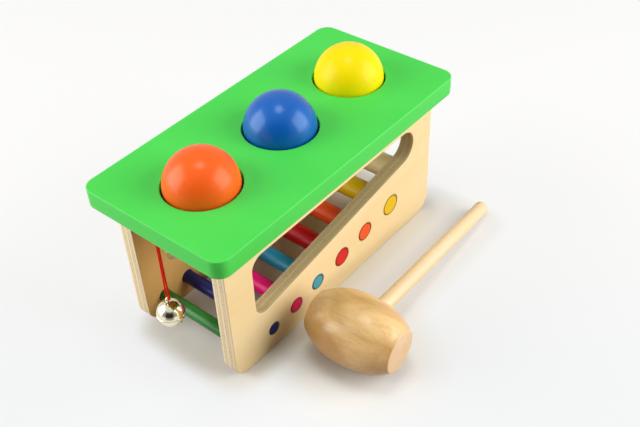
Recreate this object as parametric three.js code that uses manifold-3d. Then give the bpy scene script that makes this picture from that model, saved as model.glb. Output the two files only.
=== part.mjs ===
// Ball pounding bench with its bell and its wooden hammer.
//
// Millimetres, +Z up, standing on z = 0. The bench runs along X: the balls drop through
// the green board, roll over the coloured rods towards -X and leave at the front, where
// they knock the bell. The hammer lies on the floor along the -Y side.

import * as THREE from 'three';
import { mergeVertices } from 'three/addons/utils/BufferGeometryUtils.js';
import Module from 'manifold-3d';

const wasm = await Module();
wasm.setup();

// Green top board
const boardLength = 221;
const boardWidth = 108;
const boardThickness = 12.2;
const boardCornerRadius = 8.5;
const boardEdgeEase = 0.6;
const benchHeight = 111;

// Balls and the rubber rings that hold them in the board
const ballDiameter = 45;
const ballPitch = 67.5;
const holeClearance = 1.1;
const ringSection = 3.2;
const ringInset = 0.4;
const ringDepth = 7.5;
const ringSeatClearance = 0.3;
const ballSeatGap = 0.2;

// Plywood side panels
const panelLength = 200;
const panelThickness = 10;
const panelSpan = 84.6;
const panelSetback = 12.1;
const panelFootRadius = 11.5;
const panelEdgeEase = 0.6;
const glueLine = 0.1;

// Window in each panel: its sill runs along the ramp
const windowFrontMargin = 21.8;
const windowRearMargin = 20.6;
const windowTopMargin = 17.4;
const windowSillRise = 16.5;
const windowFrontTopRadius = 9;
const windowFrontSillRadius = 8;
const windowRearTopRadius = 11;
const windowRearSillRadius = 12;

// Ramp of painted rods that pass through both panels
const rampHeight = 30;
const rampSlopeShare = 0.16;
const rampFrontPlace = 63.6;
const thinRodDiameter = 9;
const slimRodDiameter = 11;
const stoutRodDiameter = 13.4;
const thickRodDiameter = 15.4;
const frontRodPitch = 21.2;
const middleRodPitch = 24.7;
const rearRodPitch = 28.4;
const rodEndChamfer = 0.4;
const rodClearance = 0.3;

// Plain bar at the rear and green bar at the front, both in blind bores
const stopBarDiameter = 17;
const frontBarDiameter = 8.6;
const frontBarSetback = 14.4;
const frontBarHeight = 15.1;
const blindBoreDepth = 6;

// Hidden beech pins that join the board to the panels
const pinDiameter = 5;
const pinInBoard = 8;
const pinInPanel = 11;
const pinClearance = 0.3;
const pinChamfer = 0.5;
const pinPlaceShares = [-0.38, 0, 0.38];

// Wire eye under the front of the board
const eyeSetback = 5;
const eyeOffset = 0;
const eyeWire = 1.1;
const eyeRadius = 1.9;
const eyeDrop = 0.5;
const eyeShank = 6;
const eyeClearance = 0.3;
const eyeTurnShare = 0.93;

// Red string: a knotted loop on the eye, and a long loop from the knot to the bell
const stringDiameter = 1.2;
const stringSeatGap = 0.3;
const knotWidth = 2.7;
const knotLength = 2.1;
const knotDrop = 4.15;

// The long loop as [across, height from the eye's centre]: down from the knot, through the
// bell's loop and up again
const stringRoute = [
  [0.72, -5.6], [0.73, -10], [0.76, -15], [0.8, -20], [0.87, -26], [0.98, -32], [1.12, -37],
  [1.26, -40.5], [1.39, -43], [1.45, -44.65], [1.34, -45.21], [1.03, -45.68], [0.56, -45.99],
  [0, -46.1], [-0.56, -45.99], [-1.03, -45.68], [-1.34, -45.21], [-1.45, -44.65], [-1.39, -43],
  [-1.26, -40.5], [-1.12, -37], [-0.98, -32], [-0.87, -26], [-0.8, -20], [-0.76, -15],
  [-0.73, -10], [-0.72, -5.6],
];

// Bell of two pressed cups, with a wire loop and a loose steel pellet
const bellDiameter = 17.1;
const bellWall = 0.7;
const bellSeam = 0.1;
const bellBead = 0.2;
const bellBeadHeight = 0.8;
const bellTopHole = 2.8;
const bellSlotWidth = 1.3;
const bellSlotEnd = 3;
const bellSlotRiseShare = 0.22;
const bellPellet = 4.6;
const bellPelletGap = 0.25;
const loopWire = 1;
const loopNeck = 1.4;
const loopRadius = 1.75;
const loopRise = 2.7;
const loopTailReach = 2.6;
const loopTailDrop = 1.1;
const loopFlareShare = 0.14;
const loopSeatGap = 0.35;

// Hammer: a turned barrel on a plain rod, lying on its belly and on the rod's end
const headLength = 59.4;
const headBellyDiameter = 45.4;
const headEndDiameter = 28;
const headEdgeEase = 1;
const handleDiameter = 10;
const handleReach = 159.5;
const handleEndRadius = 1.6;
const handleBoreDepth = 30;
const handleClearance = 0.3;
const hammerForward = 39.8;
const hammerAside = 87.7;
const hammerTurnDegrees = 3.4;
const headPowerShare = 2.5;

// One length by which every cut runs past the face that it opens
const overrun = 2;

// Roundness: how many facets each kind of curve gets
const holeFacets = 32;
const cornerSteps = 5;
const rodFacets = 18;
const ballFacets = 28;
const ballBands = 14;
const ringSectionFacets = 6;
const grooveSteps = 4;
const pinFacets = 8;
const wireFacets = 8;
const stringSteps = 64;
const knotFacets = 10;
const knotSteps = 8;
const bowSteps = 8;
const loopSteps = 18;
const eyeSteps = 16;
const bellFacets = 20;
const bellBands = 6;
const headFacets = 32;
const headBands = 10;

// Sizes that follow from those above
const boardUnderside = benchHeight - boardThickness;
const boardFront = -boardLength / 2;
const panelTop = boardUnderside - glueLine;
const panelFront = boardFront + panelSetback;
const panelRear = panelFront + panelLength;
const panelOuterFace = panelSpan / 2;
const panelInnerFace = panelOuterFace - panelThickness;
const panelMiddleFace = panelOuterFace - panelThickness / 2;
const holeRadius = ballDiameter / 2 + holeClearance;
const ringRadius = holeRadius - ringInset;
const ringHeight = benchHeight - ringDepth;
const ballSeatReach = ballDiameter / 2 + ringSection / 2 + ballSeatGap;
const ballHeight = ringHeight + Math.sqrt(ballSeatReach ** 2 - ringRadius ** 2);
const eyePlace = boardFront + eyeSetback;
const eyeCentreHeight = boardUnderside - eyeDrop - eyeRadius - eyeWire / 2;
const stringLow = eyeCentreHeight + Math.min(...stringRoute.map(([, height]) => height));
const bellRadius = bellDiameter / 2;
const loopCentreHeight = stringLow + stringDiameter / 2 + loopSeatGap + loopWire / 2 - loopRadius;
const bellHeight = loopCentreHeight - loopRise - bellRadius;

const finishes = {
  green: { color: 0x38c93c, roughness: 0.35 },
  orange: { color: 0xff5a14, roughness: 0.22 },
  blue: { color: 0x1f55b8, roughness: 0.22 },
  yellow: { color: 0xf6dc0a, roughness: 0.22 },
  navy: { color: 0x14145a, roughness: 0.3 },
  magenta: { color: 0xd01566, roughness: 0.3 },
  turquoise: { color: 0x3290b4, roughness: 0.3 },
  red: { color: 0xc81414, roughness: 0.3 },
  rodOrange: { color: 0xf0642d, roughness: 0.3 },
  rodYellow: { color: 0xe6c80a, roughness: 0.3 },
  rodGreen: { color: 0x2f8a46, roughness: 0.3 },
  plywood: { color: 0xf0d39a, roughness: 0.55 },
  beech: { color: 0xc9995c, roughness: 0.4 },
  paleWood: { color: 0xf0dba8, roughness: 0.5 },
  rubber: { color: 0x121212, roughness: 0.7 },
  nickel: { color: 0xd8d6cf, roughness: 0.12, metalness: 1 },
  steel: { color: 0xb4b4b4, roughness: 0.25, metalness: 1 },
  string: { color: 0xc01208, roughness: 0.85 },
};

// Turns a closed geometry into a solid for joining and cutting.
function solid(geometry) {
  const bare = geometry.clone();
  bare.deleteAttribute('normal');
  bare.deleteAttribute('uv');
  const welded = mergeVertices(bare);
  return new wasm.Manifold(new wasm.Mesh({
    numProp: 3,
    vertProperties: new Float32Array(welded.attributes.position.array),
    triVerts: new Uint32Array(welded.index.array),
  }));
}

// Turns a solid back into a geometry.
function surface(manifold) {
  const mesh = manifold.getMesh();
  const geometry = new THREE.BufferGeometry();
  geometry.setAttribute('position', new THREE.BufferAttribute(mesh.vertProperties, mesh.numProp));
  geometry.setIndex(new THREE.BufferAttribute(mesh.triVerts, 1));
  geometry.computeVertexNormals();
  return geometry;
}

function cut(geometry, cutters) {
  return surface(cutters.reduce((left, cutter) => left.subtract(solid(cutter)), solid(geometry)));
}

function piece(group, name, geometry, finish) {
  const material = new THREE.MeshStandardMaterial({ metalness: 0, ...finish });
  const mesh = new THREE.Mesh(geometry, material);
  mesh.name = name;
  group.add(mesh);
  return mesh;
}

// A polygon whose corners [across, up, radius] are rounded by arcs. A radius is limited by
// half of the shorter side that meets at its corner.
function roundedOutline(corners) {
  const points = [];
  corners.forEach(([x, y, radius], index) => {
    const here = new THREE.Vector2(x, y);
    const before = new THREE.Vector2(...corners.at(index - 1)).sub(here);
    const after = new THREE.Vector2(...corners[(index + 1) % corners.length]).sub(here);
    const halfAngle = Math.abs(before.clone().normalize().angleTo(after.clone().normalize())) / 2;
    const shorterHalf = Math.min(before.length(), after.length()) / 2;
    const reach = Math.min(radius / Math.tan(halfAngle), shorterHalf);
    if (reach === 0) {
      points.push(here);
      return;
    }
    const fitted = reach * Math.tan(halfAngle);
    const inward = before.clone().normalize().add(after.clone().normalize()).normalize();
    const centre = here.clone().addScaledVector(inward, fitted / Math.sin(halfAngle));
    const start = here.clone().addScaledVector(before.normalize(), reach).sub(centre);
    const end = here.clone().addScaledVector(after.normalize(), reach).sub(centre);
    const turn = Math.atan2(start.cross(end), start.dot(end));
    for (let step = 0; step <= cornerSteps; step += 1) {
      const swung = start.clone().rotateAround(new THREE.Vector2(), turn * step / cornerSteps);
      points.push(swung.add(centre));
    }
  });
  return points;
}

// A slab of the given thickness above z = 0, with its edges eased on both faces.
function easedSlab(outline, openings, thickness, ease) {
  const shape = new THREE.Shape(outline);
  shape.holes = openings.map((opening) => new THREE.Path(opening));
  const geometry = new THREE.ExtrudeGeometry(shape, {
    depth: thickness - 2 * ease,
    bevelEnabled: true,
    bevelThickness: ease,
    bevelSize: ease,
    bevelOffset: -ease,
    bevelSegments: 2,
  });
  return geometry.translate(0, 0, ease);
}

// Points of an arc about the origin, from one angle to another.
function arcPoints(radius, from, to, steps) {
  return Array.from({ length: steps + 1 }, (_, index) => {
    const angle = from + (to - from) * index / steps;
    return new THREE.Vector2(radius * Math.cos(angle), radius * Math.sin(angle));
  });
}

// A rod along Y, centred on the origin, with chamfered ends.
function rod(diameter, length, chamfer, facets) {
  const radius = diameter / 2;
  const half = length / 2;
  const profile = [
    [0, -half], [radius - chamfer, -half], [radius, chamfer - half],
    [radius, half - chamfer], [radius - chamfer, half], [0, half],
  ];
  return new THREE.LatheGeometry(profile.map(([x, y]) => new THREE.Vector2(x, y)), facets);
}

function bore(diameter, length, facets) {
  return new THREE.CylinderGeometry(diameter / 2, diameter / 2, length, facets);
}

// Round wire or string along a smooth curve through the given points.
function wire(points, diameter, steps) {
  const section = new THREE.Shape(arcPoints(diameter / 2, 0, 2 * Math.PI, wireFacets).slice(1));
  const path = new THREE.CatmullRomCurve3(points);
  return new THREE.ExtrudeGeometry(section, { steps, bevelEnabled: false, extrudePath: path });
}

// Ball places along the board, from the front.
const ballPlaces = [-ballPitch, 0, ballPitch];

function rampTop(place) {
  return rampHeight + rampSlopeShare * place;
}

// Rods of the ramp from the front: name, diameter, distance from the rod before, finish.
// Their tops lie on one slope, so a thicker rod sits lower.
const rampRods = [
  ['ramp_rod_navy', thinRodDiameter, 0, finishes.navy],
  ['ramp_rod_magenta', slimRodDiameter, frontRodPitch, finishes.magenta],
  ['ramp_rod_turquoise', slimRodDiameter, frontRodPitch, finishes.turquoise],
  ['ramp_rod_red', stoutRodDiameter, middleRodPitch, finishes.red],
  ['ramp_rod_orange', stoutRodDiameter, middleRodPitch, finishes.rodOrange],
  ['ramp_rod_yellow', thickRodDiameter, rearRodPitch, finishes.rodYellow],
].reduce((rods, [name, diameter, pitch, finish]) => {
  const place = rods.length ? rods.at(-1).place + pitch : -rampFrontPlace;
  return [...rods, { name, diameter, place, height: rampTop(place) - diameter / 2, finish }];
}, []);

const stopBarPlace = rampRods.at(-1).place + rearRodPitch;
const stopBar = {
  name: 'rear_stop_bar',
  diameter: stopBarDiameter,
  place: stopBarPlace,
  height: rampTop(stopBarPlace) - stopBarDiameter / 2,
  finish: finishes.paleWood,
};
const frontBar = {
  name: 'front_bar_green',
  diameter: frontBarDiameter,
  place: panelFront + frontBarSetback,
  height: frontBarHeight,
  finish: finishes.rodGreen,
};
const pinPlaces = pinPlaceShares.map((share) => (panelFront + panelRear) / 2 + share * panelLength);

// One revolved cutter per ball hole: chamfered rims and the groove that the ring sits in.
function ballHoleCutter() {
  const groove = ringSection / 2 + ringSeatClearance;
  const grooveReach = Math.acos(ringInset / groove);
  const rim = holeRadius + boardEdgeEase + overrun;
  const profile = [
    new THREE.Vector2(0, boardUnderside - overrun),
    new THREE.Vector2(rim, boardUnderside - overrun),
    new THREE.Vector2(holeRadius, boardUnderside + boardEdgeEase),
    ...arcPoints(groove, -grooveReach, grooveReach, grooveSteps)
      .map((point) => new THREE.Vector2(point.x + ringRadius, point.y + ringHeight)),
    new THREE.Vector2(holeRadius, benchHeight - boardEdgeEase),
    new THREE.Vector2(rim, benchHeight + overrun),
    new THREE.Vector2(0, benchHeight + overrun),
  ];
  return new THREE.LatheGeometry(profile, holeFacets).rotateX(Math.PI / 2);
}

// The board: rounded plan corners, a hole for each ball, and blind bores underneath for the
// pins and the wire eye.
function boardGeometry() {
  const halfLength = boardLength / 2;
  const halfWidth = boardWidth / 2;
  const outline = roundedOutline([
    [-halfLength, -halfWidth, boardCornerRadius], [halfLength, -halfWidth, boardCornerRadius],
    [halfLength, halfWidth, boardCornerRadius], [-halfLength, halfWidth, boardCornerRadius],
  ]);
  const slab = easedSlab(outline, [], boardThickness, boardEdgeEase).translate(0, 0, boardUnderside);
  const cutters = ballPlaces.map((place) => ballHoleCutter().translate(place, 0, 0));
  for (const side of [-1, 1]) {
    for (const place of pinPlaces) {
      cutters.push(bore(pinDiameter + 2 * pinClearance, 2 * (pinInBoard + pinClearance), pinFacets)
        .rotateX(Math.PI / 2).translate(place, side * panelMiddleFace, boardUnderside));
    }
  }
  cutters.push(bore(eyeWire + 2 * eyeClearance, 2 * (eyeShank + eyeClearance), pinFacets)
    .rotateX(Math.PI / 2).translate(eyePlace, eyeOffset, boardUnderside));
  return cut(slab, cutters);
}

// A side panel seen from the -Y side: feet with rounded corners, a window whose sill follows
// the ramp, through bores for the ramp rods, and blind bores on the inner face.
function panelGeometry(side) {
  const outline = roundedOutline([
    [panelFront, 0, panelFootRadius], [panelRear, 0, panelFootRadius],
    [panelRear, panelTop, 0], [panelFront, panelTop, 0],
  ]);
  const windowFront = panelFront + windowFrontMargin;
  const windowRear = panelRear - windowRearMargin;
  const windowTop = panelTop - windowTopMargin;
  const sill = (place) => rampTop(place) + windowSillRise;
  const opening = roundedOutline([
    [windowFront, sill(windowFront), windowFrontSillRadius],
    [windowRear, sill(windowRear), windowRearSillRadius],
    [windowRear, windowTop, windowRearTopRadius],
    [windowFront, windowTop, windowFrontTopRadius],
  ]);
  const slab = easedSlab(outline, [opening.reverse()], panelThickness, panelEdgeEase);
  slab.rotateX(Math.PI / 2).translate(0, side * panelMiddleFace + panelThickness / 2, 0);
  const throughLength = panelThickness + 2 * overrun;
  const cutters = rampRods.map((one) => (
    bore(one.diameter + 2 * rodClearance, throughLength, rodFacets)
      .translate(one.place, side * panelMiddleFace, one.height)));
  for (const bar of [stopBar, frontBar]) {
    cutters.push(bore(bar.diameter + 2 * rodClearance, 2 * (blindBoreDepth + rodClearance), rodFacets)
      .translate(bar.place, side * panelInnerFace, bar.height));
  }
  for (const place of pinPlaces) {
    cutters.push(bore(pinDiameter + 2 * pinClearance, 2 * (pinInPanel + pinClearance), pinFacets)
      .rotateX(Math.PI / 2).translate(place, side * panelMiddleFace, panelTop));
  }
  return cut(slab, cutters);
}

// What is glued together: the board, the panels, the rods, the bars and the hidden pins.
function addBench(bench) {
  piece(bench, 'top_board', boardGeometry(), finishes.green);
  piece(bench, 'side_panel_right', panelGeometry(-1), finishes.plywood);
  piece(bench, 'side_panel_left', panelGeometry(1), finishes.plywood);
  for (const one of rampRods) {
    const mesh = piece(bench, one.name, rod(one.diameter, panelSpan, rodEndChamfer, rodFacets), one.finish);
    mesh.position.set(one.place, 0, one.height);
  }
  for (const bar of [stopBar, frontBar]) {
    const length = 2 * (panelInnerFace + blindBoreDepth);
    const mesh = piece(bench, bar.name, rod(bar.diameter, length, rodEndChamfer, rodFacets), bar.finish);
    mesh.position.set(bar.place, 0, bar.height);
  }
  for (const [sideName, side] of [['right', -1], ['left', 1]]) {
    pinPlaces.forEach((place, index) => {
      const pin = rod(pinDiameter, pinInBoard + pinInPanel, pinChamfer, pinFacets);
      const mesh = piece(bench, `board_pin_${sideName}_${index + 1}`, pin, finishes.beech);
      mesh.rotation.x = Math.PI / 2;
      mesh.position.set(place, side * panelMiddleFace, boardUnderside + (pinInBoard - pinInPanel) / 2);
    });
  }
}

// Three balls, each on a rubber ring that sits half in the wall of its hole.
function addBalls(bench) {
  const colours = [['orange', finishes.orange], ['blue', finishes.blue], ['yellow', finishes.yellow]];
  colours.forEach(([colour, finish], index) => {
    const sphere = new THREE.SphereGeometry(ballDiameter / 2, ballFacets, ballBands);
    const ball = piece(bench, `ball_${colour}`, sphere.rotateX(Math.PI / 2), finish);
    ball.position.set(ballPlaces[index], 0, ballHeight);
    const torus = new THREE.TorusGeometry(ringRadius, ringSection / 2, ringSectionFacets, holeFacets);
    const ring = piece(bench, `ball_ring_${colour}`, torus, finishes.rubber);
    ring.position.set(ballPlaces[index], 0, ringHeight);
  });
}

// The wire eye: a straight shank up into the board and one turn of wire below it.
function eyeGeometry() {
  const points = [[0, boardUnderside + eyeShank], [0, boardUnderside]];
  const turns = eyeSteps / 2;
  for (let step = 0; step <= turns; step += 1) {
    const angle = Math.PI / 2 + 2 * Math.PI * eyeTurnShare * step / turns;
    points.push([eyeRadius * Math.cos(angle), eyeCentreHeight + eyeRadius * Math.sin(angle)]);
  }
  return wire(points.map(([x, z]) => new THREE.Vector3(x, 0, z)), eyeWire, 2 * eyeSteps);
}

// The knot is a small tight body. A short loop of string runs up from it over the eye's wire.
function knotGeometry() {
  const wireHeight = eyeCentreHeight - eyeRadius;
  const loop = eyeWire / 2 + stringSeatGap + stringDiameter / 2;
  const knotHeight = eyeCentreHeight - knotDrop;
  const foot = new THREE.Vector3(0, stringDiameter / 2, knotHeight);
  const points = [foot];
  arcPoints(loop, 0, Math.PI, knotSteps / 2).forEach((point) => {
    points.push(new THREE.Vector3(0, point.x, wireHeight + point.y));
  });
  points.push(new THREE.Vector3(0, -foot.y, foot.z));
  const body = new THREE.SphereGeometry(knotWidth / 2, knotFacets, wireFacets)
    .rotateX(Math.PI / 2).scale(1, 1, knotLength / knotWidth).translate(0, 0, knotHeight);
  return surface(solid(wire(points, stringDiameter, 2 * knotSteps)).add(solid(body)));
}

function stringGeometry() {
  const points = stringRoute.map(([across, height]) => (
    new THREE.Vector3(0, across, eyeCentreHeight + height)));
  return wire(points, stringDiameter, stringSteps);
}

// Upper cup: a hole at the top for the loop, and a rolled bead over the seam.
function bellUpperGeometry() {
  const top = Math.acos(bellTopHole / 2 / bellRadius);
  const innerRadius = bellRadius - bellWall;
  const topInside = Math.acos(bellTopHole / 2 / innerRadius);
  const beadTop = Math.asin(bellBeadHeight / bellRadius);
  const profile = [
    ...arcPoints(innerRadius, topInside, 0, bellBands),
    new THREE.Vector2(bellRadius + bellBead, 0),
    new THREE.Vector2(bellRadius + bellBead, bellBeadHeight / 2),
    ...arcPoints(bellRadius, beadTop, top, bellBands),
  ];
  profile.push(profile[0].clone());
  return new THREE.LatheGeometry(profile, bellFacets).rotateX(Math.PI / 2);
}

// Lower cup: one slot across the bottom that ends in a round hole on each side.
function bellLowerGeometry() {
  const innerRadius = bellRadius - bellWall;
  const profile = [
    ...arcPoints(bellRadius, -Math.PI / 2, 0, bellBands),
    ...arcPoints(innerRadius, 0, -Math.PI / 2, bellBands),
  ];
  profile[0].x = 0;
  profile.at(-1).x = 0;
  const cup = new THREE.LatheGeometry(profile, bellFacets).rotateX(Math.PI / 2).translate(0, 0, -bellSeam);
  const endHeight = -bellSlotRiseShare * bellDiameter;
  const depth = bellRadius + overrun;
  const slot = new THREE.BoxGeometry(bellSlotWidth, 2 * depth, depth).translate(0, 0, endHeight - depth / 2);
  const ends = bore(bellSlotEnd, 2 * depth, pinFacets).translate(0, 0, endHeight);
  return cut(cup, [slot, ends]);
}

// The loop: a round bow above the bell, a narrow neck through its top, and two bent tails.
function loopGeometry() {
  const neck = loopNeck / 2;
  const inside = bellRadius - bellWall;
  const tail = [
    new THREE.Vector2(-neck - loopTailReach, inside - loopTailDrop - loopWire),
    new THREE.Vector2(-neck - loopTailReach / 2, inside - loopTailDrop),
    new THREE.Vector2(-neck, inside - loopWire / 2),
    new THREE.Vector2(-neck, bellRadius),
  ];
  const bowCentre = bellRadius + loopRise;
  const halfOpening = Math.asin(neck / loopRadius) + Math.PI * loopFlareShare;
  const bow = arcPoints(loopRadius, Math.PI * 1.5 - halfOpening, halfOpening - Math.PI / 2, bowSteps)
    .map((point) => new THREE.Vector2(point.x, point.y + bowCentre));
  const half = [...tail, ...bow];
  const otherTail = tail.map((point) => new THREE.Vector2(-point.x, point.y)).reverse();
  const points = [...half, ...otherTail].map((point) => new THREE.Vector3(point.x, 0, point.y));
  return wire(points, loopWire, 2 * loopSteps);
}

// The bell hangs on its string from the eye, with the pellet lying inside it.
function addBell(bench) {
  const eye = piece(bench, 'string_eye', eyeGeometry(), finishes.steel);
  eye.position.set(eyePlace, eyeOffset, 0);
  const knot = piece(bench, 'string_knot', knotGeometry(), finishes.string);
  knot.position.set(eyePlace, eyeOffset, 0);
  const string = piece(bench, 'bell_string', stringGeometry(), finishes.string);
  string.position.set(eyePlace, eyeOffset, 0);
  const bell = new THREE.Group();
  bell.position.set(eyePlace, eyeOffset, bellHeight);
  bench.add(bell);
  piece(bell, 'bell_upper_cup', bellUpperGeometry(), finishes.nickel);
  piece(bell, 'bell_lower_cup', bellLowerGeometry(), finishes.nickel);
  piece(bell, 'bell_loop', loopGeometry(), finishes.nickel);
  const pelletShape = new THREE.SphereGeometry(bellPellet / 2, pinFacets, wireFacets);
  const pellet = piece(bell, 'bell_pellet', pelletShape, finishes.steel);
  pellet.position.set(0, 0, bellWall + bellPelletGap + bellPellet / 2 - bellRadius - bellSeam);
}

// The head swells from its flat ends to the belly, and is bored from one side for the handle.
function headGeometry() {
  const half = headLength / 2;
  const endRadius = headEndDiameter / 2;
  const swell = (headBellyDiameter - headEndDiameter) / 2;
  const profile = [new THREE.Vector2(0, -half), new THREE.Vector2(endRadius - headEdgeEase, -half)];
  for (let band = 0; band <= headBands; band += 1) {
    const share = 2 * band / headBands - 1;
    const along = share * (half - headEdgeEase / 2);
    profile.push(new THREE.Vector2(endRadius + swell * (1 - Math.abs(share) ** headPowerShare), along));
  }
  profile.push(new THREE.Vector2(endRadius - headEdgeEase, half), new THREE.Vector2(0, half));
  const barrel = new THREE.LatheGeometry(profile, headFacets);
  const boreLength = handleBoreDepth + handleClearance + overrun;
  const boreMiddle = headBellyDiameter / 2 + overrun - boreLength / 2;
  const socket = bore(handleDiameter + 2 * handleClearance, boreLength, rodFacets)
    .rotateZ(Math.PI / 2).translate(boreMiddle, 0, 0);
  return cut(barrel, [socket]);
}

// The handle: a plain rod along X with a rounded free end and a chamfered end in the head.
function handleGeometry() {
  const inner = headBellyDiameter / 2 - handleBoreDepth;
  const radius = handleDiameter / 2;
  const profile = [
    [0, inner], [radius - rodEndChamfer, inner], [radius, inner + rodEndChamfer],
    [radius, handleReach - handleEndRadius],
    [radius - handleEndRadius / 3, handleReach - handleEndRadius / 3],
    [radius - handleEndRadius, handleReach], [0, handleReach],
  ];
  const points = profile.map(([x, y]) => new THREE.Vector2(x, y));
  return new THREE.LatheGeometry(points, rodFacets).rotateZ(-Math.PI / 2);
}

// The hammer lies tilted, on the belly of its head and on the free end of its handle.
function addHammer(whole) {
  const hammer = new THREE.Group();
  const fall = (headBellyDiameter - handleDiameter) / 2;
  const turn = THREE.MathUtils.degToRad(hammerTurnDegrees);
  hammer.rotation.order = 'ZYX';
  hammer.rotation.set(0, Math.asin(fall / handleReach), turn);
  hammer.position.set(-hammerForward, -hammerAside, headBellyDiameter / 2);
  whole.add(hammer);
  piece(hammer, 'hammer_head', headGeometry(), finishes.beech);
  piece(hammer, 'hammer_handle', handleGeometry(), finishes.paleWood);
  hammer.updateMatrixWorld(true);
  hammer.position.z -= new THREE.Box3().setFromObject(hammer, true).min.z;
}

// The whole set stands on z = 0, with the middle of its footprint at the origin.
const set = new THREE.Group();
addBench(set);
addBalls(set);
addBell(set);
addHammer(set);
set.updateMatrixWorld(true);
const middle = new THREE.Box3().setFromObject(set, true).getCenter(new THREE.Vector3());
set.position.set(-middle.x, -middle.y, 0);

export default set;
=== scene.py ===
# %% [markdown]
# Ball pounding bench
#
# The toy is a green board on two plywood panels. Three lacquered balls are knocked through
# the board with a wooden hammer, roll down a ramp of painted rods and ring a small bell.
# The CAD frame already holds every part at its true size, so this script only gives each
# part its finished shape and surface. All lengths are metres, in the frame's own axes.

# %% Load the frame
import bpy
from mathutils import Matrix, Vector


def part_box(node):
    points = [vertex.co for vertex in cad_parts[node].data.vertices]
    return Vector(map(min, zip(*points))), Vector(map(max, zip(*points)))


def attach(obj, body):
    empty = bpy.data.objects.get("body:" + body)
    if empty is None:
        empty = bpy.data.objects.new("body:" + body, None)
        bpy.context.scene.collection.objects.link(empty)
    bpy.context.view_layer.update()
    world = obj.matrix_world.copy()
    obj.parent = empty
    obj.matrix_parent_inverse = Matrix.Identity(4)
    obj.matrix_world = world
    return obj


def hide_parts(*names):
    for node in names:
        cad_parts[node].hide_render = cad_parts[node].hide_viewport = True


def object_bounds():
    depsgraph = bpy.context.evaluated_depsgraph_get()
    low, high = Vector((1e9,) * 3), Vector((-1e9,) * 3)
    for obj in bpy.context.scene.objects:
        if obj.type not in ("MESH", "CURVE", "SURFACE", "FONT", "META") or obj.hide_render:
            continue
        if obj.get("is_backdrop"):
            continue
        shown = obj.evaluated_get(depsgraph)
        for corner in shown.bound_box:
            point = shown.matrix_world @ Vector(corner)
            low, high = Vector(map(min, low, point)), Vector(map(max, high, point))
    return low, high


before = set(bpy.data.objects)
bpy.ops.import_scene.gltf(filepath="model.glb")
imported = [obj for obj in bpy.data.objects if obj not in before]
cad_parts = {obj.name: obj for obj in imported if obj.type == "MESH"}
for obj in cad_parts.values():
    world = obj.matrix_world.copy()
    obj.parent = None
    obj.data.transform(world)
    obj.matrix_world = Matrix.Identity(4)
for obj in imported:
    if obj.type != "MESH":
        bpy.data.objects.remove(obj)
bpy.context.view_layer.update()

# %% [markdown]
# The camera stands in front of the bench's right corner and looks down at 41 degrees. Its
# place was found by fitting the board, the balls and the panels to the picture, and is
# measured from the spot on the floor below the middle of the board. It could be aimed with a
# Track To constraint, but that can't hold a roll. Building its matrix from a right, an up
# and a back vector keeps the small roll easy to read.

# %% Camera
import math

import bmesh
import bpy
from mathutils import Euler, Matrix, Vector
from mathutils.geometry import tessellate_polygon

MM = 0.001
scene = bpy.context.scene
scene.view_settings.view_transform = "Standard"


def middle(node):
    """The middle of a CAD node's box."""
    low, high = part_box(node)
    return (low + high) / 2


board_low, board_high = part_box("top_board")
bench = middle("top_board")
bench.z = 0
camera_place = bench + Vector((-328.55, -309.69, 435.08)) * MM
azimuth, elevation, roll = (math.radians(degrees) for degrees in (-49.42, 41.221, -2.549))
right = Vector((math.cos(azimuth), math.sin(azimuth), 0))
back = Vector((math.sin(azimuth) * math.cos(elevation),
               -math.cos(azimuth) * math.cos(elevation),
               math.sin(elevation)))
up = back.cross(right)
rolled_right = math.cos(roll) * right + math.sin(roll) * up
rolled_up = back.cross(rolled_right)

camera = bpy.data.objects.new("camera", bpy.data.cameras.new("camera"))
camera.data.lens = 51.716
camera.data.sensor_width = 36
camera.data.clip_start = 0.01
camera.data.clip_end = 20
camera.matrix_world = Matrix.Translation(camera_place) @ Matrix(
    (rolled_right, rolled_up, back)).transposed().to_4x4()
scene.collection.objects.link(camera)
scene.camera = camera
print("camera at", tuple(camera.location))

# %% [markdown]
# Node trees, for shaders and for geometry alike, are written here as Python expressions.
# A Wire is one output socket. Adding or multiplying two wires adds a Math node, so a
# formula in the tree reads like the formula on paper.

# %% A wire between nodes


class Wire:
    """One output socket of a node tree, with the operators of ordinary numbers."""

    def __init__(self, graph, socket):
        self.graph = graph
        self.socket = socket

    def __add__(self, other):
        return self.graph.math("ADD", self, other)

    def __sub__(self, other):
        return self.graph.math("SUBTRACT", self, other)

    def __rsub__(self, other):
        return self.graph.math("SUBTRACT", other, self)

    def __mul__(self, other):
        return self.graph.math("MULTIPLY", self, other)

    def __truediv__(self, other):
        return self.graph.math("DIVIDE", self, other)

    def __pow__(self, other):
        return self.graph.math("POWER", self, other)

    def __gt__(self, other):
        return self.graph.math("GREATER_THAN", self, other)

    def __lt__(self, other):
        return self.graph.math("LESS_THAN", self, other)

    def __abs__(self):
        return self.graph.math("ABSOLUTE", self)

    def fraction(self):
        """The part of a number after the point."""
        return self.graph.math("FRACT", self)

    __radd__ = __add__
    __rmul__ = __mul__


# %% [markdown]
# A Graph is a whole tree. Its add method makes every node: first the settings that decide
# which sockets the node has, then the values or the wires of those sockets. The other
# methods are short names for nodes that this script needs often.

# %% A tree of nodes
NUMBER_RESULTS = ("DOT_PRODUCT", "DISTANCE", "LENGTH")


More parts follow.
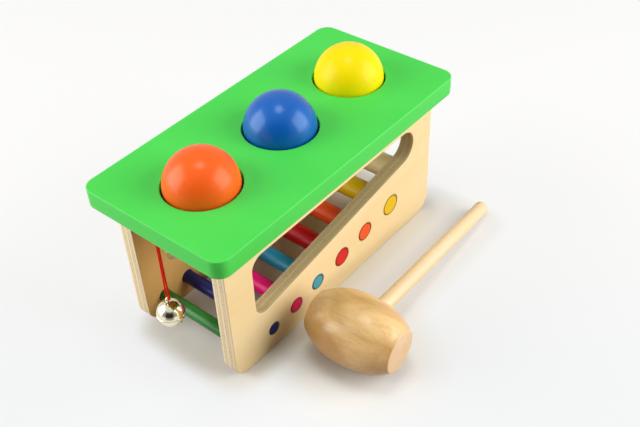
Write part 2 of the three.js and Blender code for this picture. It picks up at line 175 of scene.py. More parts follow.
class Graph:
    """A node tree that is written by calls."""

    def __init__(self, tree):
        self.tree = tree
        self.tree.nodes.clear()

    def add(self, kind, sockets=None, output=0, **settings):
        """Add a node: its settings first, then the values or wires of its sockets.

        output is the result that is wanted. A tuple of them gives a list of wires.
        """
        node = self.tree.nodes.new(kind)
        for name, value in settings.items():
            setattr(node, name, value)
        for key, value in (sockets or {}).items():
            if isinstance(value, Wire):
                self.tree.links.new(value.socket, node.inputs[key])
            else:
                node.inputs[key].default_value = value
        if isinstance(output, tuple):
            return [Wire(self, node.outputs[each]) for each in output]
        return Wire(self, node.outputs[output]) if node.outputs else None

    def math(self, operation, *values):
        return self.add("ShaderNodeMath", dict(enumerate(values)), operation=operation)

    def vector(self, operation, *values):
        """A Vector Math node. Some of its operations give a number instead of a vector."""
        return self.add("ShaderNodeVectorMath", dict(enumerate(values)),
                        output=int(operation in NUMBER_RESULTS), operation=operation)

    def scaled(self, vector, factor):
        return self.add("ShaderNodeVectorMath", {0: vector, "Scale": factor},
                        operation="SCALE")

    def axes(self, vector):
        """The three parts of a vector."""
        return self.add("ShaderNodeSeparateXYZ", {0: vector}, output=(0, 1, 2))

    def ramp(self, value, low, high):
        """0 up to low, 1 from high on, smooth between. low may be the larger one."""
        return self.add("ShaderNodeMapRange", {
            "Value": value, "From Min": low, "From Max": high}, interpolation_type="SMOOTHSTEP")


# %% [markdown]
# The same few steps finish every piece: its faces are turned outwards, its real corners are
# kept crisp while its curves are shaded smooth, and it rides on the body of the frame that
# it belongs to. An Edge Split modifier would cut the mesh open at each corner, so the edges
# are marked sharp instead. A flat cap beside a rounded edge gets a crisp border, because a
# smooth border would smear the curve's shading across the whole flat face.

# %% Helpers that finish a piece


def opened(*meshes):
    """One bmesh that holds these meshes."""
    shape = bmesh.new()
    for mesh in meshes:
        shape.from_mesh(mesh)
    return shape


def as_mesh(shape):
    """Turn a bmesh into mesh data."""
    mesh = bpy.data.meshes.new("shape")
    shape.to_mesh(mesh)
    shape.free()
    return mesh


def settle(mesh, name, caps=True, crease=38):
    """Turn faces outwards, mark crisp edges, and return a new object with this mesh."""
    shape = opened(mesh)
    bmesh.ops.recalc_face_normals(shape, faces=shape.faces)
    for face in shape.faces:
        face.smooth = True
    for edge in shape.edges:
        sides = {len(face.verts) == 4 for face in edge.link_faces}
        border = caps and len(sides) == 2
        edge.smooth = not (border or edge.calc_face_angle(0) > math.radians(crease))
    shape.to_mesh(mesh)
    shape.free()
    mesh.name = name
    piece = bpy.data.objects.new(name, mesh)
    scene.collection.objects.link(piece)
    print(name, "has", len(mesh.polygons), "faces")
    return piece


def hand_over(piece, material, body, slot, *nodes):
    """Give the piece its finish and let it stand for its CAD nodes."""
    piece.data.materials.clear()
    piece.data.materials.append(material)
    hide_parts(*nodes)
    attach(piece, body)
    print(piece.name, "stands for", ", ".join(nodes), "and rides on", body)


# %% [markdown]
# String and wire are both a section carried along a path. The path is a centripetal spline,
# which passes through every given point without overshooting, so the points can be read off
# the real thing. A curve object would need handles at each point as well. Where a path is
# bent round, a few points of an arc guide it.

# %% Helpers for paths
PATH_STEP = 0.16 * MM


def arc(radius, start, end, steps, x=0.0, y=0.0):
    """Points of an arc about (x, y), from one angle to another."""
    return [(x + radius * math.cos(start + (end - start) * i / steps),
             y + radius * math.sin(start + (end - start) * i / steps))
            for i in range(steps + 1)]


def smooth_path(points, spacing=PATH_STEP):
    """Points along a centripetal spline, about this far apart."""
    ends = [2 * points[0] - points[1], *points, 2 * points[-1] - points[-2]]
    path = []
    for before, start, end, after in zip(ends, ends[1:], ends[2:], ends[3:]):
        first, span, last = ((a - b).length ** 0.5
                             for a, b in ((before, start), (start, end), (end, after)))
        leave = span * ((start - before) / first - (end - before) / (first + span)
                        + (end - start) / span)
        arrive = span * ((end - start) / span - (after - start) / (span + last)
                         + (after - end) / last)
        steps = max(1, round((end - start).length / spacing))
        for step in range(steps):
            t = step / steps
            path.append(start + leave * t
                        + (3 * (end - start) - 2 * leave - arrive) * t ** 2
                        + (2 * (start - end) + leave + arrive) * t ** 3)
    return [*path, points[-1].copy()]


# %% [markdown]
# A curve object with a round bevel would do for wire, but yarn needs a section with lobes
# that turn along it, so one function builds the tube's mesh for both. Each ring of points
# is carried on from the one before, so the tube doesn't twist by itself. A UV map counts
# the lays along the tube and the share of a turn round it, for the fibres of the yarn.

# %% Helper for tubes


def tube(path, radius, around=20, lobes=0, depth=0.0, lay=1.0, closed=False):
    """A tube along the path. Lobes turn once round it in each lay."""
    shape = bmesh.new()
    uv = shape.loops.layers.uv.new("along")
    count = len(path)
    side = None
    rings, travelled = [], [0.0]
    for index, point in enumerate(path):
        if closed:
            heading = path[(index + 1) % count] - path[index - 1]
        else:
            heading = path[min(index + 1, count - 1)] - path[max(index - 1, 0)]
        heading.normalize()
        side = heading.orthogonal() if side is None else side - heading * side.dot(heading)
        side.normalize()
        other = heading.cross(side)
        ring = []
        for step in range(around):
            angle = 2 * math.pi * step / around
            twist = 2 * math.pi * travelled[-1] / lay
            reach = radius * (1 - depth + depth * math.cos(lobes * (angle - twist)))
            ring.append(shape.verts.new(
                point + reach * (math.cos(angle) * side + math.sin(angle) * other)))
        rings.append(ring)
        if index + 1 < count:
            travelled.append(travelled[-1] + (path[index + 1] - point).length)
    bands = list(zip(rings, rings[1:])) + ([(rings[-1], rings[0])] if closed else [])
    for number, (ring, following) in enumerate(bands):
        for step in range(around):
            after = (step + 1) % around
            face = shape.faces.new((ring[step], ring[after], following[after], following[step]))
            corners = ((number, step), (number, step + 1), (number + 1, step + 1),
                       (number + 1, step))
            for loop, (along, turn) in zip(face.loops, corners):
                loop[uv].uv = (travelled[min(along, count - 1)] / lay, turn / around)
    if not closed:
        shape.faces.new(rings[0])
        shape.faces.new(rings[-1])
    return as_mesh(shape)


# %% [markdown]
# The bell hangs on one doubled length of red cotton. It leaves a knot, passes through the
# bell's wire loop and comes up again. The route repeats the CAD route's points. The yarn is
# laid from three strands, so its section has three lobes.

# %% Red string
eye = bench + Vector((-105.5, 0, 95.85)) * MM
STRING_DIAMETER = 1.2 * MM
STRING_LAY = 3.6 * MM
STRANDS = 3
STRING_ROUTE = [
    (0.72, -5.6), (0.73, -10), (0.76, -15), (0.8, -20), (0.87, -26), (0.98, -32),
    (1.12, -37), (1.26, -40.5), (1.39, -43), (1.45, -44.65), (1.34, -45.21), (1.03, -45.68),
    (0.56, -45.99), (0, -46.1), (-0.56, -45.99), (-1.03, -45.68), (-1.34, -45.21),
    (-1.45, -44.65), (-1.39, -43), (-1.26, -40.5), (-1.12, -37), (-0.98, -32), (-0.87, -26),
    (-0.8, -20), (-0.76, -15), (-0.73, -10), (-0.72, -5.6),
]


def yarn(path):
    """Red cotton along a path."""
    return tube(path, STRING_DIAMETER / 2, around=18, lobes=STRANDS, depth=0.12, lay=STRING_LAY)


string_path = smooth_path(
    [eye + Vector((0, across, height)) * MM for across, height in STRING_ROUTE])
string_length = sum((b - a).length for a, b in zip(string_path, string_path[1:]))
bell_string = settle(yarn(string_path), "bell_string_twisted")
print("string length", round(string_length, 5), "m")

# %% [markdown]
# The string is tied to itself in a small tight knot, and a short loop above the knot goes
# over the wire eye. A bead would look like a stopper, so the knot is a real one: its strand
# follows a trefoil, the path of an overhand knot, pulled so tight that its turns press into
# each other. Two short stubs carry the string's own ends into it. The knot's sizes are
# counted in millimetres from its middle, and turned into metres in the last step.

# %% Knot of the string
EYE_RADIUS = 1.9 * MM
LOOP_REACH = 1.45 * MM
KNOT_STRAND = 0.5 * MM
KNOT_DROP = 4.15
TREFOIL_STEPS = 150
TREFOIL_WIDTH = 0.28
TREFOIL_DEPTH = 0.58
STUB_ROUTE = ((0.6, 0), (0.68, -0.7), (0.72, -1.3), (0.72, -1.6))
knot_centre = eye + Vector((0, 0, -KNOT_DROP)) * MM

start, end = (Vector((0, side * KNOT_STRAND, knot_centre.z - eye.z)) + eye for side in (1, -1))
bend = [Vector((eye.x, y, z)) for y, z in arc(
    LOOP_REACH, 0, math.pi, 8, eye.y, eye.z - EYE_RADIUS)]
over_wire = [start, *bend, end]

trefoil = []
for step in range(TREFOIL_STEPS):
    t = 2 * math.pi * step / TREFOIL_STEPS
    trefoil.append(knot_centre + Vector((
        TREFOIL_WIDTH * (math.sin(t) + 2 * math.sin(2 * t)),
        TREFOIL_WIDTH * (math.cos(t) - 2 * math.cos(2 * t)),
        -TREFOIL_DEPTH * math.sin(3 * t))) * MM)
turns = tube(trefoil, KNOT_STRAND, around=14, lobes=STRANDS, depth=0.1, lay=STRING_LAY,
             closed=True)
stubs = [yarn([knot_centre + Vector((0, side * across, drop)) * MM
               for across, drop in STUB_ROUTE]) for side in (-1, 1)]
string_knot = settle(as_mesh(opened(yarn(smooth_path(over_wire)), turns, *stubs)),
                     "string_knot_tied")

# %% [markdown]
# The board and the panels were sawn to an outline. An outline here is a list of points,
# anticlockwise, and each of its corners is rounded by an arc that just touches both sides.
# A short side gets a smaller arc, so that two corners never run into each other.

# %% Helpers for outlines
CORNER_STEPS = 14


def circle(x, y, radius, count=72):
    """Points of a circle, anticlockwise."""
    return [(x + radius * math.cos(2 * math.pi * i / count),
             y + radius * math.sin(2 * math.pi * i / count)) for i in range(count)]


def rounded(corners):
    """A polygon, anticlockwise, whose corners (x, y, radius) are rounded by arcs."""
    points = []
    for index, (x, y, radius) in enumerate(corners):
        here = Vector((x, y))
        before = Vector(corners[index - 1][:2]) - here
        after = Vector(corners[(index + 1) % len(corners)][:2]) - here
        half_angle = before.angle(after) / 2
        reach = min(radius / math.tan(half_angle), min(before.length, after.length) / 2)
        if reach == 0:
            points.append((x, y))
            continue
        fitted = reach * math.tan(half_angle)
        centre = here + ((before.normalized() + after.normalized()).normalized()
                         * fitted / math.sin(half_angle))
        start = here + before.normalized() * reach - centre
        turn = math.pi - 2 * half_angle
        for step in range(CORNER_STEPS + 1):
            angle = turn * step / CORNER_STEPS
            points.append((centre.x + start.x * math.cos(angle) - start.y * math.sin(angle),
                           centre.y + start.x * math.sin(angle) + start.y * math.cos(angle)))
    return points


# %% [markdown]
# After sawing, a router ran along the edges and rounded them. Going down a rounded edge, the
# outline comes out step by step as a quarter circle does, so a wall can be written as a list
# of rings: an outline at each depth. A Bevel modifier could round the edges too, but not
# around openings whose points lie closer together than its width. A pocket is a wall that
# stops half way.

# %% Helpers for rounded edges
EASE_STEPS = 4
POCKET_POINTS = 40


def shifted(points, distance):
    """The polygon with each side moved outwards by the distance."""
    moved = []
    for index, point in enumerate(points):
        here = Vector(point)
        into = (here - Vector(points[index - 1])).normalized()
        out = (Vector(points[(index + 1) % len(points)]) - here).normalized()
        normals = [Vector((edge.y, -edge.x)) for edge in (into, out)]
        along = normals[0] + normals[1]
        moved.append(tuple(here + along * distance / (1 + normals[0].dot(normals[1]))))
    return moved


def round_over(ease):
    """(setback, depth) pairs of a rounded edge, from the face down into the wall."""
    angles = [math.pi / 2 * step / EASE_STEPS for step in range(EASE_STEPS + 1)]
    return [(ease * (1 - math.sin(angle)), ease * (1 - math.cos(angle))) for angle in angles]


def eased_wall(points, thickness, ease, outline=False):
    """Rings of a wall whose edges are rounded over at both faces."""
    inwards = -1 if outline else 1
    near = [(shifted(points, inwards * setback), depth) for setback, depth in round_over(ease)]
    return near + [(ring, thickness - depth) for ring, depth in reversed(near)]


def pocket(x, y, radius, start, end):
    """Rings of a blind bore, from its mouth to its floor."""
    return [(circle(x, y, radius, POCKET_POINTS), height) for height in (start, end)]


# %% [markdown]
# A slab is made of its walls: the rings of each wall are joined by bands of faces, from one
# flat face to the other, and the flat faces are filled between the first and the last
# rings. A pocket is joined to one face only and gets a floor. Every edge stays true where a
# Boolean would leave slivers.

# %% Helpers for slabs


def bridge(shape, ring, other):
    """Join two rings of vertices by a band of faces."""
    for index in range(len(ring)):
        after = (index + 1) % len(ring)
        shape.faces.new((ring[index], ring[after], other[after], other[index]))


def slab(walls, low_pockets, high_pockets, put):
    """A closed slab. put(x, y, height) gives the place of a point of its rings."""
    shape = bmesh.new()
    faces = {"low": [], "high": []}

    def raise_rings(rings):
        made = [[shape.verts.new(put(x, y, height)) for x, y in points]
                for points, height in rings]
        for ring, following in zip(made, made[1:]):
            bridge(shape, ring, following)
        return made

    for wall in walls:
        rings = raise_rings(wall)
        faces["low"].append(rings[0])
        faces["high"].append(rings[-1])
    for face, pockets in (("low", low_pockets), ("high", high_pockets)):
        for each in pockets:
            rings = raise_rings(each)
            shape.faces.new(rings[-1])
            faces[face].append(rings[0])
    for loops in faces.values():
        corners = [corner for loop in loops for corner in loop]
        for triangle in tessellate_polygon([[corner.co for corner in loop] for loop in loops]):
            shape.faces.new([corners[i] for i in triangle])
    return as_mesh(shape)


# %% [markdown]
# Each ball hole in the board is a straight bore with a small round over at its rims, and
# half way down it has a groove that holds the rubber ring. The groove could be lathed and
# cut out, but here it is simply part of the wall's list of rings.

# %% Wall of a ball hole
BOARD_THICKNESS = board_high.z - board_low.z
EDGE_EASE = 0.6 * MM
HOLE_RADIUS = 23.6 * MM
HOLE_POINTS = 128
RING_RADIUS = 23.2 * MM
RING_HEIGHT = 103.5 * MM
GROOVE = 1.9 * MM
GROOVE_STEPS = 8


def ball_hole(centre):
    """Rings of a ball hole's wall, from the underside to the top."""
    rim = [(HOLE_RADIUS + setback, depth) for setback, depth in round_over(EDGE_EASE)]
    top = [(radius, BOARD_THICKNESS - depth) for radius, depth in reversed(rim)]
    reach = math.acos((HOLE_RADIUS - RING_RADIUS) / GROOVE)
    groove = arc(GROOVE, -reach, reach, GROOVE_STEPS, RING_RADIUS, RING_HEIGHT - board_low.z)
    return [(circle(centre.x, centre.y, radius, HOLE_POINTS), height)
            for radius, height in rim + groove + top]


# %% [markdown]
# The green board is 12 mm thick, with a softly rounded edge all round and the three holes in
# a row. Its underside has blind bores for the six pins and for the eye of the string. The
# balls and the pins are where the CAD nodes are, so their places are read from the frame.

# %% Green board
BOARD_CORNER = 8.5 * MM
PIN_BORE = (2.8 * MM, 0, 8.3 * MM)
EYE_BORE = (0.85 * MM, 0, 6.3 * MM)
PIN_NODES = [f"board_pin_{side}_{number}" for side in ("right", "left") for number in (1, 2, 3)]
ball_centres = {colour: middle(f"ball_{colour}") for colour in ("orange", "blue", "yellow")}
pin_places = [middle(node) for node in PIN_NODES]
board_outline = rounded([(x, y, BOARD_CORNER) for x, y in (
    (board_low.x, board_low.y), (board_high.x, board_low.y),
    (board_high.x, board_high.y), (board_low.x, board_high.y))])
board_walls = [eased_wall(board_outline, BOARD_THICKNESS, EDGE_EASE, outline=True)]
board_walls += [ball_hole(centre) for centre in ball_centres.values()]
board_pockets = [pocket(place.x, place.y, *PIN_BORE) for place in pin_places]
board_pockets.append(pocket(eye.x, eye.y, *EYE_BORE))
board = settle(slab(board_walls, board_pockets, [],
                    lambda x, y, height: (x, y, board_low.z + height)), "board_green")

# %% [markdown]
# Each side panel has square corners at the top, where it meets the board, and rounded feet.
# Its window lets a child watch the balls roll. The sill climbs with the ramp, and the four
# corners have arcs of different radii. A Boolean could cut the window, but as an outline of
# its own it gets the same rounded edges as the panel.

# %% Outlines of a side panel
FOOT_CORNER = 11.5 * MM
WINDOW_FROM_FRONT = 21.8 * MM
WINDOW_FROM_REAR = 20.6 * MM
WINDOW_FROM_TOP = 17.4 * MM
SILL_HEIGHT = 46.5 * MM
SILL_SLOPE = 0.16


def panel_outline(low, high):
    """The panel's own outline, from the corners of its CAD box."""
    return rounded([(low.x, low.z, FOOT_CORNER), (high.x, low.z, FOOT_CORNER),
                    (high.x, high.z, 0), (low.x, high.z, 0)])


def window_outline(low, high):
    """The outline of its window."""
    front, rear, top = (low.x + WINDOW_FROM_FRONT, high.x - WINDOW_FROM_REAR,
                        high.z - WINDOW_FROM_TOP)
    front_sill, rear_sill = (SILL_HEIGHT + SILL_SLOPE * (x - bench.x) for x in (front, rear))
    return rounded([(front, front_sill, 8 * MM), (rear, rear_sill, 12 * MM),
                    (rear, top, 11 * MM), (front, top, 9 * MM)])


# %% [markdown]
# The panels are birch plywood. Six bores go right through for the rods, and two blind bores
# on the inner face hold the bars. The same outlines serve both panels. The inner face is
# the high side of the right panel and the low side of the left one.

# %% Plywood panels
FIT_GAP = 0.3 * MM
BORE_EASE = 0.25 * MM
BAR_DEPTH = 6.3 * MM
ramp_rods = ("navy", "magenta", "turquoise", "red", "orange", "yellow")
bars = ("front_bar_green", "rear_stop_bar")


def axis_and_radius(node):
    """Where a rod or bar lies, and its radius."""
    low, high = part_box(node)
    return (low + high) / 2, (high.x - low.x) / 2


panels = {}
for side, inner in (("right", "high"), ("left", "low")):
    low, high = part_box(f"side_panel_{side}")
    thickness = high.y - low.y
    walls = [eased_wall(panel_outline(low, high), thickness, EDGE_EASE, outline=True),
             eased_wall(window_outline(low, high), thickness, EDGE_EASE)]
    for colour in ramp_rods:
        centre, radius = axis_and_radius(f"ramp_rod_{colour}")
        walls.append(eased_wall(circle(centre.x, centre.z, radius + FIT_GAP), thickness,
                                BORE_EASE))
    mouth, floor = (thickness, thickness - BAR_DEPTH) if inner == "high" else (0, BAR_DEPTH)
    blind = [pocket(centre.x, centre.z, radius + FIT_GAP, mouth, floor)
             for centre, radius in map(axis_and_radius, bars)]
    low_side, high_side = ([], blind) if inner == "high" else (blind, [])
    panels[side] = settle(
        slab(walls, low_side, high_side,
             lambda x, z, height, start=low.y: (x, start + height, z)), f"panel_{side}")

# %% [markdown]
# Shapes that follow a rule are left to Geometry Nodes. Each tree has named inputs for its
# sizes, and ends by making any copies real and setting the material, because an exported
# model can't hold copies. A tree is run on a throwaway object, and only the plain mesh that
# it makes is kept, so no modifier is left on a piece. Rods, the hammer's head and pins are
# all a section swept up a line, so their trees share that part.

# %% Helpers for Geometry Nodes
SOCKET_KINDS = {"Geometry": "NodeSocketGeometry", "Material": "NodeSocketMaterial",
                "Bands": "NodeSocketInt", "Around": "NodeSocketInt"}


def new_tree(name, *inputs):
    """A Geometry Nodes tree with these inputs, as a graph and a wire from each input."""
    tree = bpy.data.node_groups.new(name, "GeometryNodeTree")
    for label in inputs:
        tree.interface.new_socket(label, in_out="INPUT",
                                  socket_type=SOCKET_KINDS.get(label, "NodeSocketFloat"))
    tree.interface.new_socket("Geometry", in_out="OUTPUT", socket_type="NodeSocketGeometry")
    graph = Graph(tree)
    return graph, dict(zip(inputs, graph.add("NodeGroupInput", output=inputs)))


def swept(graph, count, along, section, radius):
    """Rings at these heights above the origin, joined by a section of this radius."""
    line = graph.add("GeometryNodeCurvePrimitiveLine", {"End": (0, 0, 1)})
    rings = graph.add("GeometryNodeResampleCurve", {"Curve": line, "Count": count})
    placed = graph.add("GeometryNodeSetPosition", {
        "Geometry": rings, "Position": graph.add("ShaderNodeCombineXYZ", {2: along})})
    return graph.add("GeometryNodeCurveToMesh", {
        "Curve": placed, "Profile Curve": section, "Scale": radius, "Fill Caps": True})


def end_tree(graph, body, material):
    """Make copies real, set the material, and send the result out of the tree."""
    whole = graph.add("GeometryNodeRealizeInstances", {"Geometry": body})
    painted = graph.add("GeometryNodeSetMaterial", {"Geometry": whole, "Material": material})
    graph.add("NodeGroupOutput", {0: painted})
    print(graph.tree.name, "tree has", len(graph.tree.nodes), "nodes")
    return graph.tree


def grow(tree, values, base=None):
    """Run a tree with these inputs on a throwaway object and return a plain mesh."""
    seed = bpy.data.objects.new("seed", base or bpy.data.meshes.new("seed"))
    scene.collection.objects.link(seed)
    modifier = seed.modifiers.new("grow", "NODES")
    modifier.node_group = tree
    for item in tree.interface.items_tree:
        if item.in_out == "INPUT" and item.name in values:
            modifier[item.identifier] = values[item.name]
    seed.update_tag()
    depsgraph = bpy.context.evaluated_depsgraph_get()
    mesh = bpy.data.meshes.new_from_object(seed.evaluated_get(depsgraph))
    seed.modifiers.clear()
    bpy.data.objects.remove(seed)
    return mesh


# %% [markdown]
# Everything turned on a lathe or cut from round stock follows one rule: a radius for each
# place along an axis. One tree does all of it. A line is resampled into rings, a formula on
# the ring's index moves each ring along the axis and gives its radius, and Curve to Mesh
# draws a circle at that radius. The edges at both ends are eased by a quarter circle, and a
# swell makes the middle thicker, as in a barrel. A swell of zero is a plain rod.

# %% Geometry Nodes tree for turned wood


def turned_tree():
    """Tree for a turned piece that stands on the origin along Z."""
    graph, given = new_tree("turned_wood", "Length", "Radius", "Ease", "Swell", "Power",
                            "Bands", "Around", "Material")
    length, ease, bands = given["Length"], given["Ease"], given["Bands"]
    index = graph.add("GeometryNodeInputIndex")
    count = bands + 2 * EASE_STEPS + 1
    quarter = math.pi / 2 / EASE_STEPS
    near = graph.math("MINIMUM", index, EASE_STEPS) * quarter
    far = graph.math("MINIMUM", count - 1 - index, EASE_STEPS) * quarter
    share = graph.add("ShaderNodeClamp", {0: (index - EASE_STEPS) / bands})
    along = (ease * (1 - graph.math("COSINE", near)) + ease * graph.math("COSINE", far)
             + (length - 2 * ease) * share)
    swell = given["Swell"] * (1 - abs(2 * share - 1) ** given["Power"])
    rounding = graph.math("SINE", near) * graph.math("SINE", far)
    radius = given["Radius"] + swell - ease + ease * rounding
    section = graph.add("GeometryNodeCurvePrimitiveCircle",
                        {"Resolution": given["Around"], "Radius": 1.0})
    return end_tree(graph, swept(graph, count, along, section, radius), given["Material"])


turned = turned_tree()


def rod_piece(name, matrix, material, length, radius, ease):
    """A round rod, carried from the Z axis to its place by the matrix."""
    mesh = grow(turned, {"Length": length, "Radius": radius, "Ease": ease, "Swell": 0.0,
                         "Power": 1.0, "Bands": 1, "Around": 72, "Material": material})
    mesh.transform(matrix)
    return settle(mesh, name)


# %% [markdown]
# A ball is turned too, but a globe of rings would gather its faces at two poles. A cube
# whose points are pushed out to one radius has none. Taking the tangent of each coordinate
# first makes its faces nearly equal, and a tree with a Radius input serves every ball, down
# to the pellet in the bell.

# %% Geometry Nodes tree for the balls
BALL_POINTS = 33


def ball_tree():
    """Tree for a ball on the origin, without poles."""
    graph, given = new_tree("ball", "Radius", "Material")
    cube = graph.add("GeometryNodeMeshCube", {
        "Size": (2, 2, 2), "Vertices X": BALL_POINTS, "Vertices Y": BALL_POINTS,
        "Vertices Z": BALL_POINTS})
    place = graph.add("GeometryNodeInputPosition")
    even = graph.vector("TANGENT", graph.scaled(place, math.pi / 4))
    surface = graph.scaled(graph.vector("NORMALIZE", even), given["Radius"])
    ball = graph.add("GeometryNodeSetPosition", {"Geometry": cube, "Position": surface})
    return end_tree(graph, ball, given["Material"])


ball_shape = ball_tree()


def ball_piece(name, centre, radius, material):
    """A ball on this centre."""
    mesh = grow(ball_shape, {"Radius": radius, "Material": material})
    mesh.transform(Matrix.Translation(centre))
    return settle(mesh, name, caps=False)


# %% [markdown]
# Pressed metal and moulded rubber are turned from a profile of (radius, height) points. The
# Spin operator would do it, but it leaves doubled points on the axis, so this lathe makes
# one shared point there. A profile that ends where it began is welded to itself.

# %% Helpers for lathed pieces


def lathe(profile, centre, around=96):
    """Turn (radius, height) points round a vertical axis. A radius of 0 is one shared point."""
    shape = bmesh.new()
    rings = []
    for radius, height in profile:
        if radius == 0:
            rings.append([shape.verts.new(centre + Vector((0, 0, height)))])
            continue
        rings.append([shape.verts.new(centre + Vector((x, y, height)))
                      for x, y in circle(0, 0, radius, around)])
    for ring, following in zip(rings, rings[1:]):
        if len(ring) == len(following):
            bridge(shape, ring, following)
            continue
        tip, wide = (ring, following) if len(ring) == 1 else (following, ring)
        for i in range(around):
            shape.faces.new((tip[0], wide[i], wide[(i + 1) % around]))
    return as_mesh(shape)


def welded(mesh):
    """The mesh with points that lie on each other made one."""
    shape = opened(mesh)
    bmesh.ops.remove_doubles(shape, verts=shape.verts, dist=1e-7)
    return as_mesh(shape)


# %% [markdown]
# A Boolean cuts what a profile can't hold, such as the bell's slot and the bore in the
# hammer's head, because the edge of such a cut follows a curve where two forms meet. The
# cutters are closed meshes a little longer than the cut, and are thrown away afterwards.

# %% Helpers that cut


def cut_away(mesh, cutters):
    """The mesh without the space of the cutters."""
    pieces = []
    for each in (mesh, *cutters):
        shape = opened(each)
        bmesh.ops.recalc_face_normals(shape, faces=shape.faces)
        pieces.append(bpy.data.objects.new("cut", as_mesh(shape)))
        scene.collection.objects.link(pieces[-1])
    body, *tools = pieces
    for tool in tools:
        modifier = body.modifiers.new("cut", "BOOLEAN")
        modifier.operation = "DIFFERENCE"
        modifier.solver = "EXACT"
        modifier.object = tool
    depsgraph = bpy.context.evaluated_depsgraph_get()
    result = bpy.data.meshes.new_from_object(body.evaluated_get(depsgraph))
    for piece in pieces:
        bpy.data.objects.remove(piece)
    return result


def box_mesh(low, high):
    """A closed box between two corners."""
    shape = bmesh.new()
    bmesh.ops.create_cube(shape, size=1)
    for vertex in shape.verts:
        vertex.co = Vector((low[i] + (vertex.co[i] + 0.5) * (high[i] - low[i]) for i in range(3)))
    return as_mesh(shape)


# %% [markdown]
# The bell is pressed from sheet in two cups. The upper one has a rolled bead over the seam
# and a small hole for the wire loop. It is lathed as a closed wall, with an inside and an
# outside, so the bell is truly hollow and its edges show the metal's thickness.

# %% Upper cup of the bell
BELL_HEIGHT = 38.2 * MM
BELL_RADIUS = 8.55 * MM
BELL_WALL = 0.7 * MM
BEAD = 0.2 * MM
BEAD_FOOT = 0.02
TOP_HOLE = 1.4 * MM
bell_centre = Vector((eye.x, eye.y, BELL_HEIGHT))
bell_inside = BELL_RADIUS - BELL_WALL
bead_top = math.asin(4 * BEAD / BELL_RADIUS) + BEAD_FOOT
upper_profile = (
    arc(bell_inside, math.acos(TOP_HOLE / bell_inside), 0, 24)
    + arc(BEAD * 1.5, -math.pi / 2, math.pi / 2, 8, BELL_RADIUS - BEAD * 0.5, BEAD * 1.5)
    + arc(BELL_RADIUS, bead_top, math.acos(TOP_HOLE / BELL_RADIUS), 24)
)
upper_profile.append(upper_profile[0])
upper_cup = settle(welded(lathe(upper_profile, bell_centre)), "bell_cup_upper", caps=False)

# %% [markdown]
# The lower cup has one slot right across, which lets the sound out and ends in two round
# holes. It is lathed like the upper one, and the slot and its ends are cut from it as a box
# and a short bar that lies across.

# %% Lower cup of the bell
SLOT_HALF = 0.65 * MM
SLOT_END_RADIUS = 1.5 * MM
SLOT_DROP = 0.22
CUP_GAP = 0.04 * MM
lower_profile = (
    [(0, -BELL_RADIUS)] + arc(BELL_RADIUS, -math.pi / 2, 0, 28)[1:]
    + arc(bell_inside, 0, -math.pi / 2, 28)[:-1] + [(0, -bell_inside)]
)
lower_centre = bell_centre - Vector((0, 0, CUP_GAP))
reach = BELL_RADIUS + 2 * MM
slot_end = lower_centre.z - SLOT_DROP * 2 * BELL_RADIUS
slot = box_mesh((bell_centre.x - SLOT_HALF, bell_centre.y - reach, slot_end - reach),
                (bell_centre.x + SLOT_HALF, bell_centre.y + reach, slot_end))
ends = lathe([(0, -reach), (SLOT_END_RADIUS, -reach), (SLOT_END_RADIUS, reach), (0, reach)],
             Vector(), 48)
ends.transform(Matrix.Translation((bell_centre.x, bell_centre.y, slot_end))
               @ Matrix.Rotation(math.pi / 2, 4, "X"))
lower_cup = settle(cut_away(lathe(lower_profile, lower_centre), [slot, ends]),
                   "bell_cup_lower", caps=False, crease=30)

# %% [markdown]
# Two small pieces are bent wire: the screw eye under the board, and the bell's loop, whose
# ends go down through the hole in the top cup and are bent apart inside. A torus would be
# quicker, but it would have no shank and no open ends. Each is a tube along its bent
# centreline.

# %% Bent wire
WIRE_STEP = 0.2 * MM
EYE_WIRE = 0.55 * MM
EYE_TURN = 2 * math.pi * 0.93
EYE_SHANK = 6 * MM
eye_route = [Vector((eye.x, eye.y, board_low.z + EYE_SHANK)), Vector((eye.x, eye.y, board_low.z))]
for step in range(17):
    angle = math.pi / 2 + EYE_TURN * step / 16
    eye_route.append(eye + EYE_RADIUS * Vector((math.cos(angle), 0, math.sin(angle))))
string_eye = settle(tube(smooth_path(eye_route, WIRE_STEP), EYE_WIRE), "string_eye_bent")

LOOP_WIRE = 0.5 * MM
LOOP_RADIUS = 1.75 * MM
LOOP_RISE = 2.7 * MM
NECK = 0.7 * MM
opening = math.asin(NECK / LOOP_RADIUS) + math.pi * 0.14
tail = [(-NECK - 2.6 * MM, bell_inside - 2.1 * MM), (-NECK - 1.3 * MM, bell_inside - 1.1 * MM),
        (-NECK, bell_inside - 0.5 * MM), (-NECK, BELL_RADIUS)]
bow = arc(LOOP_RADIUS, math.pi * 1.5 - opening, opening - math.pi / 2, 16, 0,
          BELL_RADIUS + LOOP_RISE)
loop_route = [bell_centre + Vector((x, 0, z)) for x, z in
              tail + bow + [(-x, z) for x, z in reversed(tail)]]
bell_loop = settle(tube(smooth_path(loop_route, WIRE_STEP), LOOP_WIRE), "bell_loop_bent")

# %% [markdown]
# The rubber rings hold the balls until a blow drives them through. They are moulded, so each
# has a fine parting line round its inside and its outside. A torus has no such line, so the
# lathe's profile is a circle with two tiny ridges, and the ring closes on itself.

# %% Rubber rings
RING_SECTION = 1.6 * MM
RIDGE = 0.06 * MM
RING_STEPS = 32


def ring_mesh(centre):
    """A moulded rubber ring round a ball's axis."""
    section = []
    for step in range(RING_STEPS):
        angle = 2 * math.pi * step / RING_STEPS
        ridge = RIDGE if step % (RING_STEPS // 2) == 0 else 0
        section.append((RING_RADIUS + (RING_SECTION - RIDGE + ridge) * math.cos(angle),
                        RING_SECTION * math.sin(angle)))
    section.append(section[0])
    return welded(lathe(section, Vector((centre.x, centre.y, RING_HEIGHT)), HOLE_POINTS))


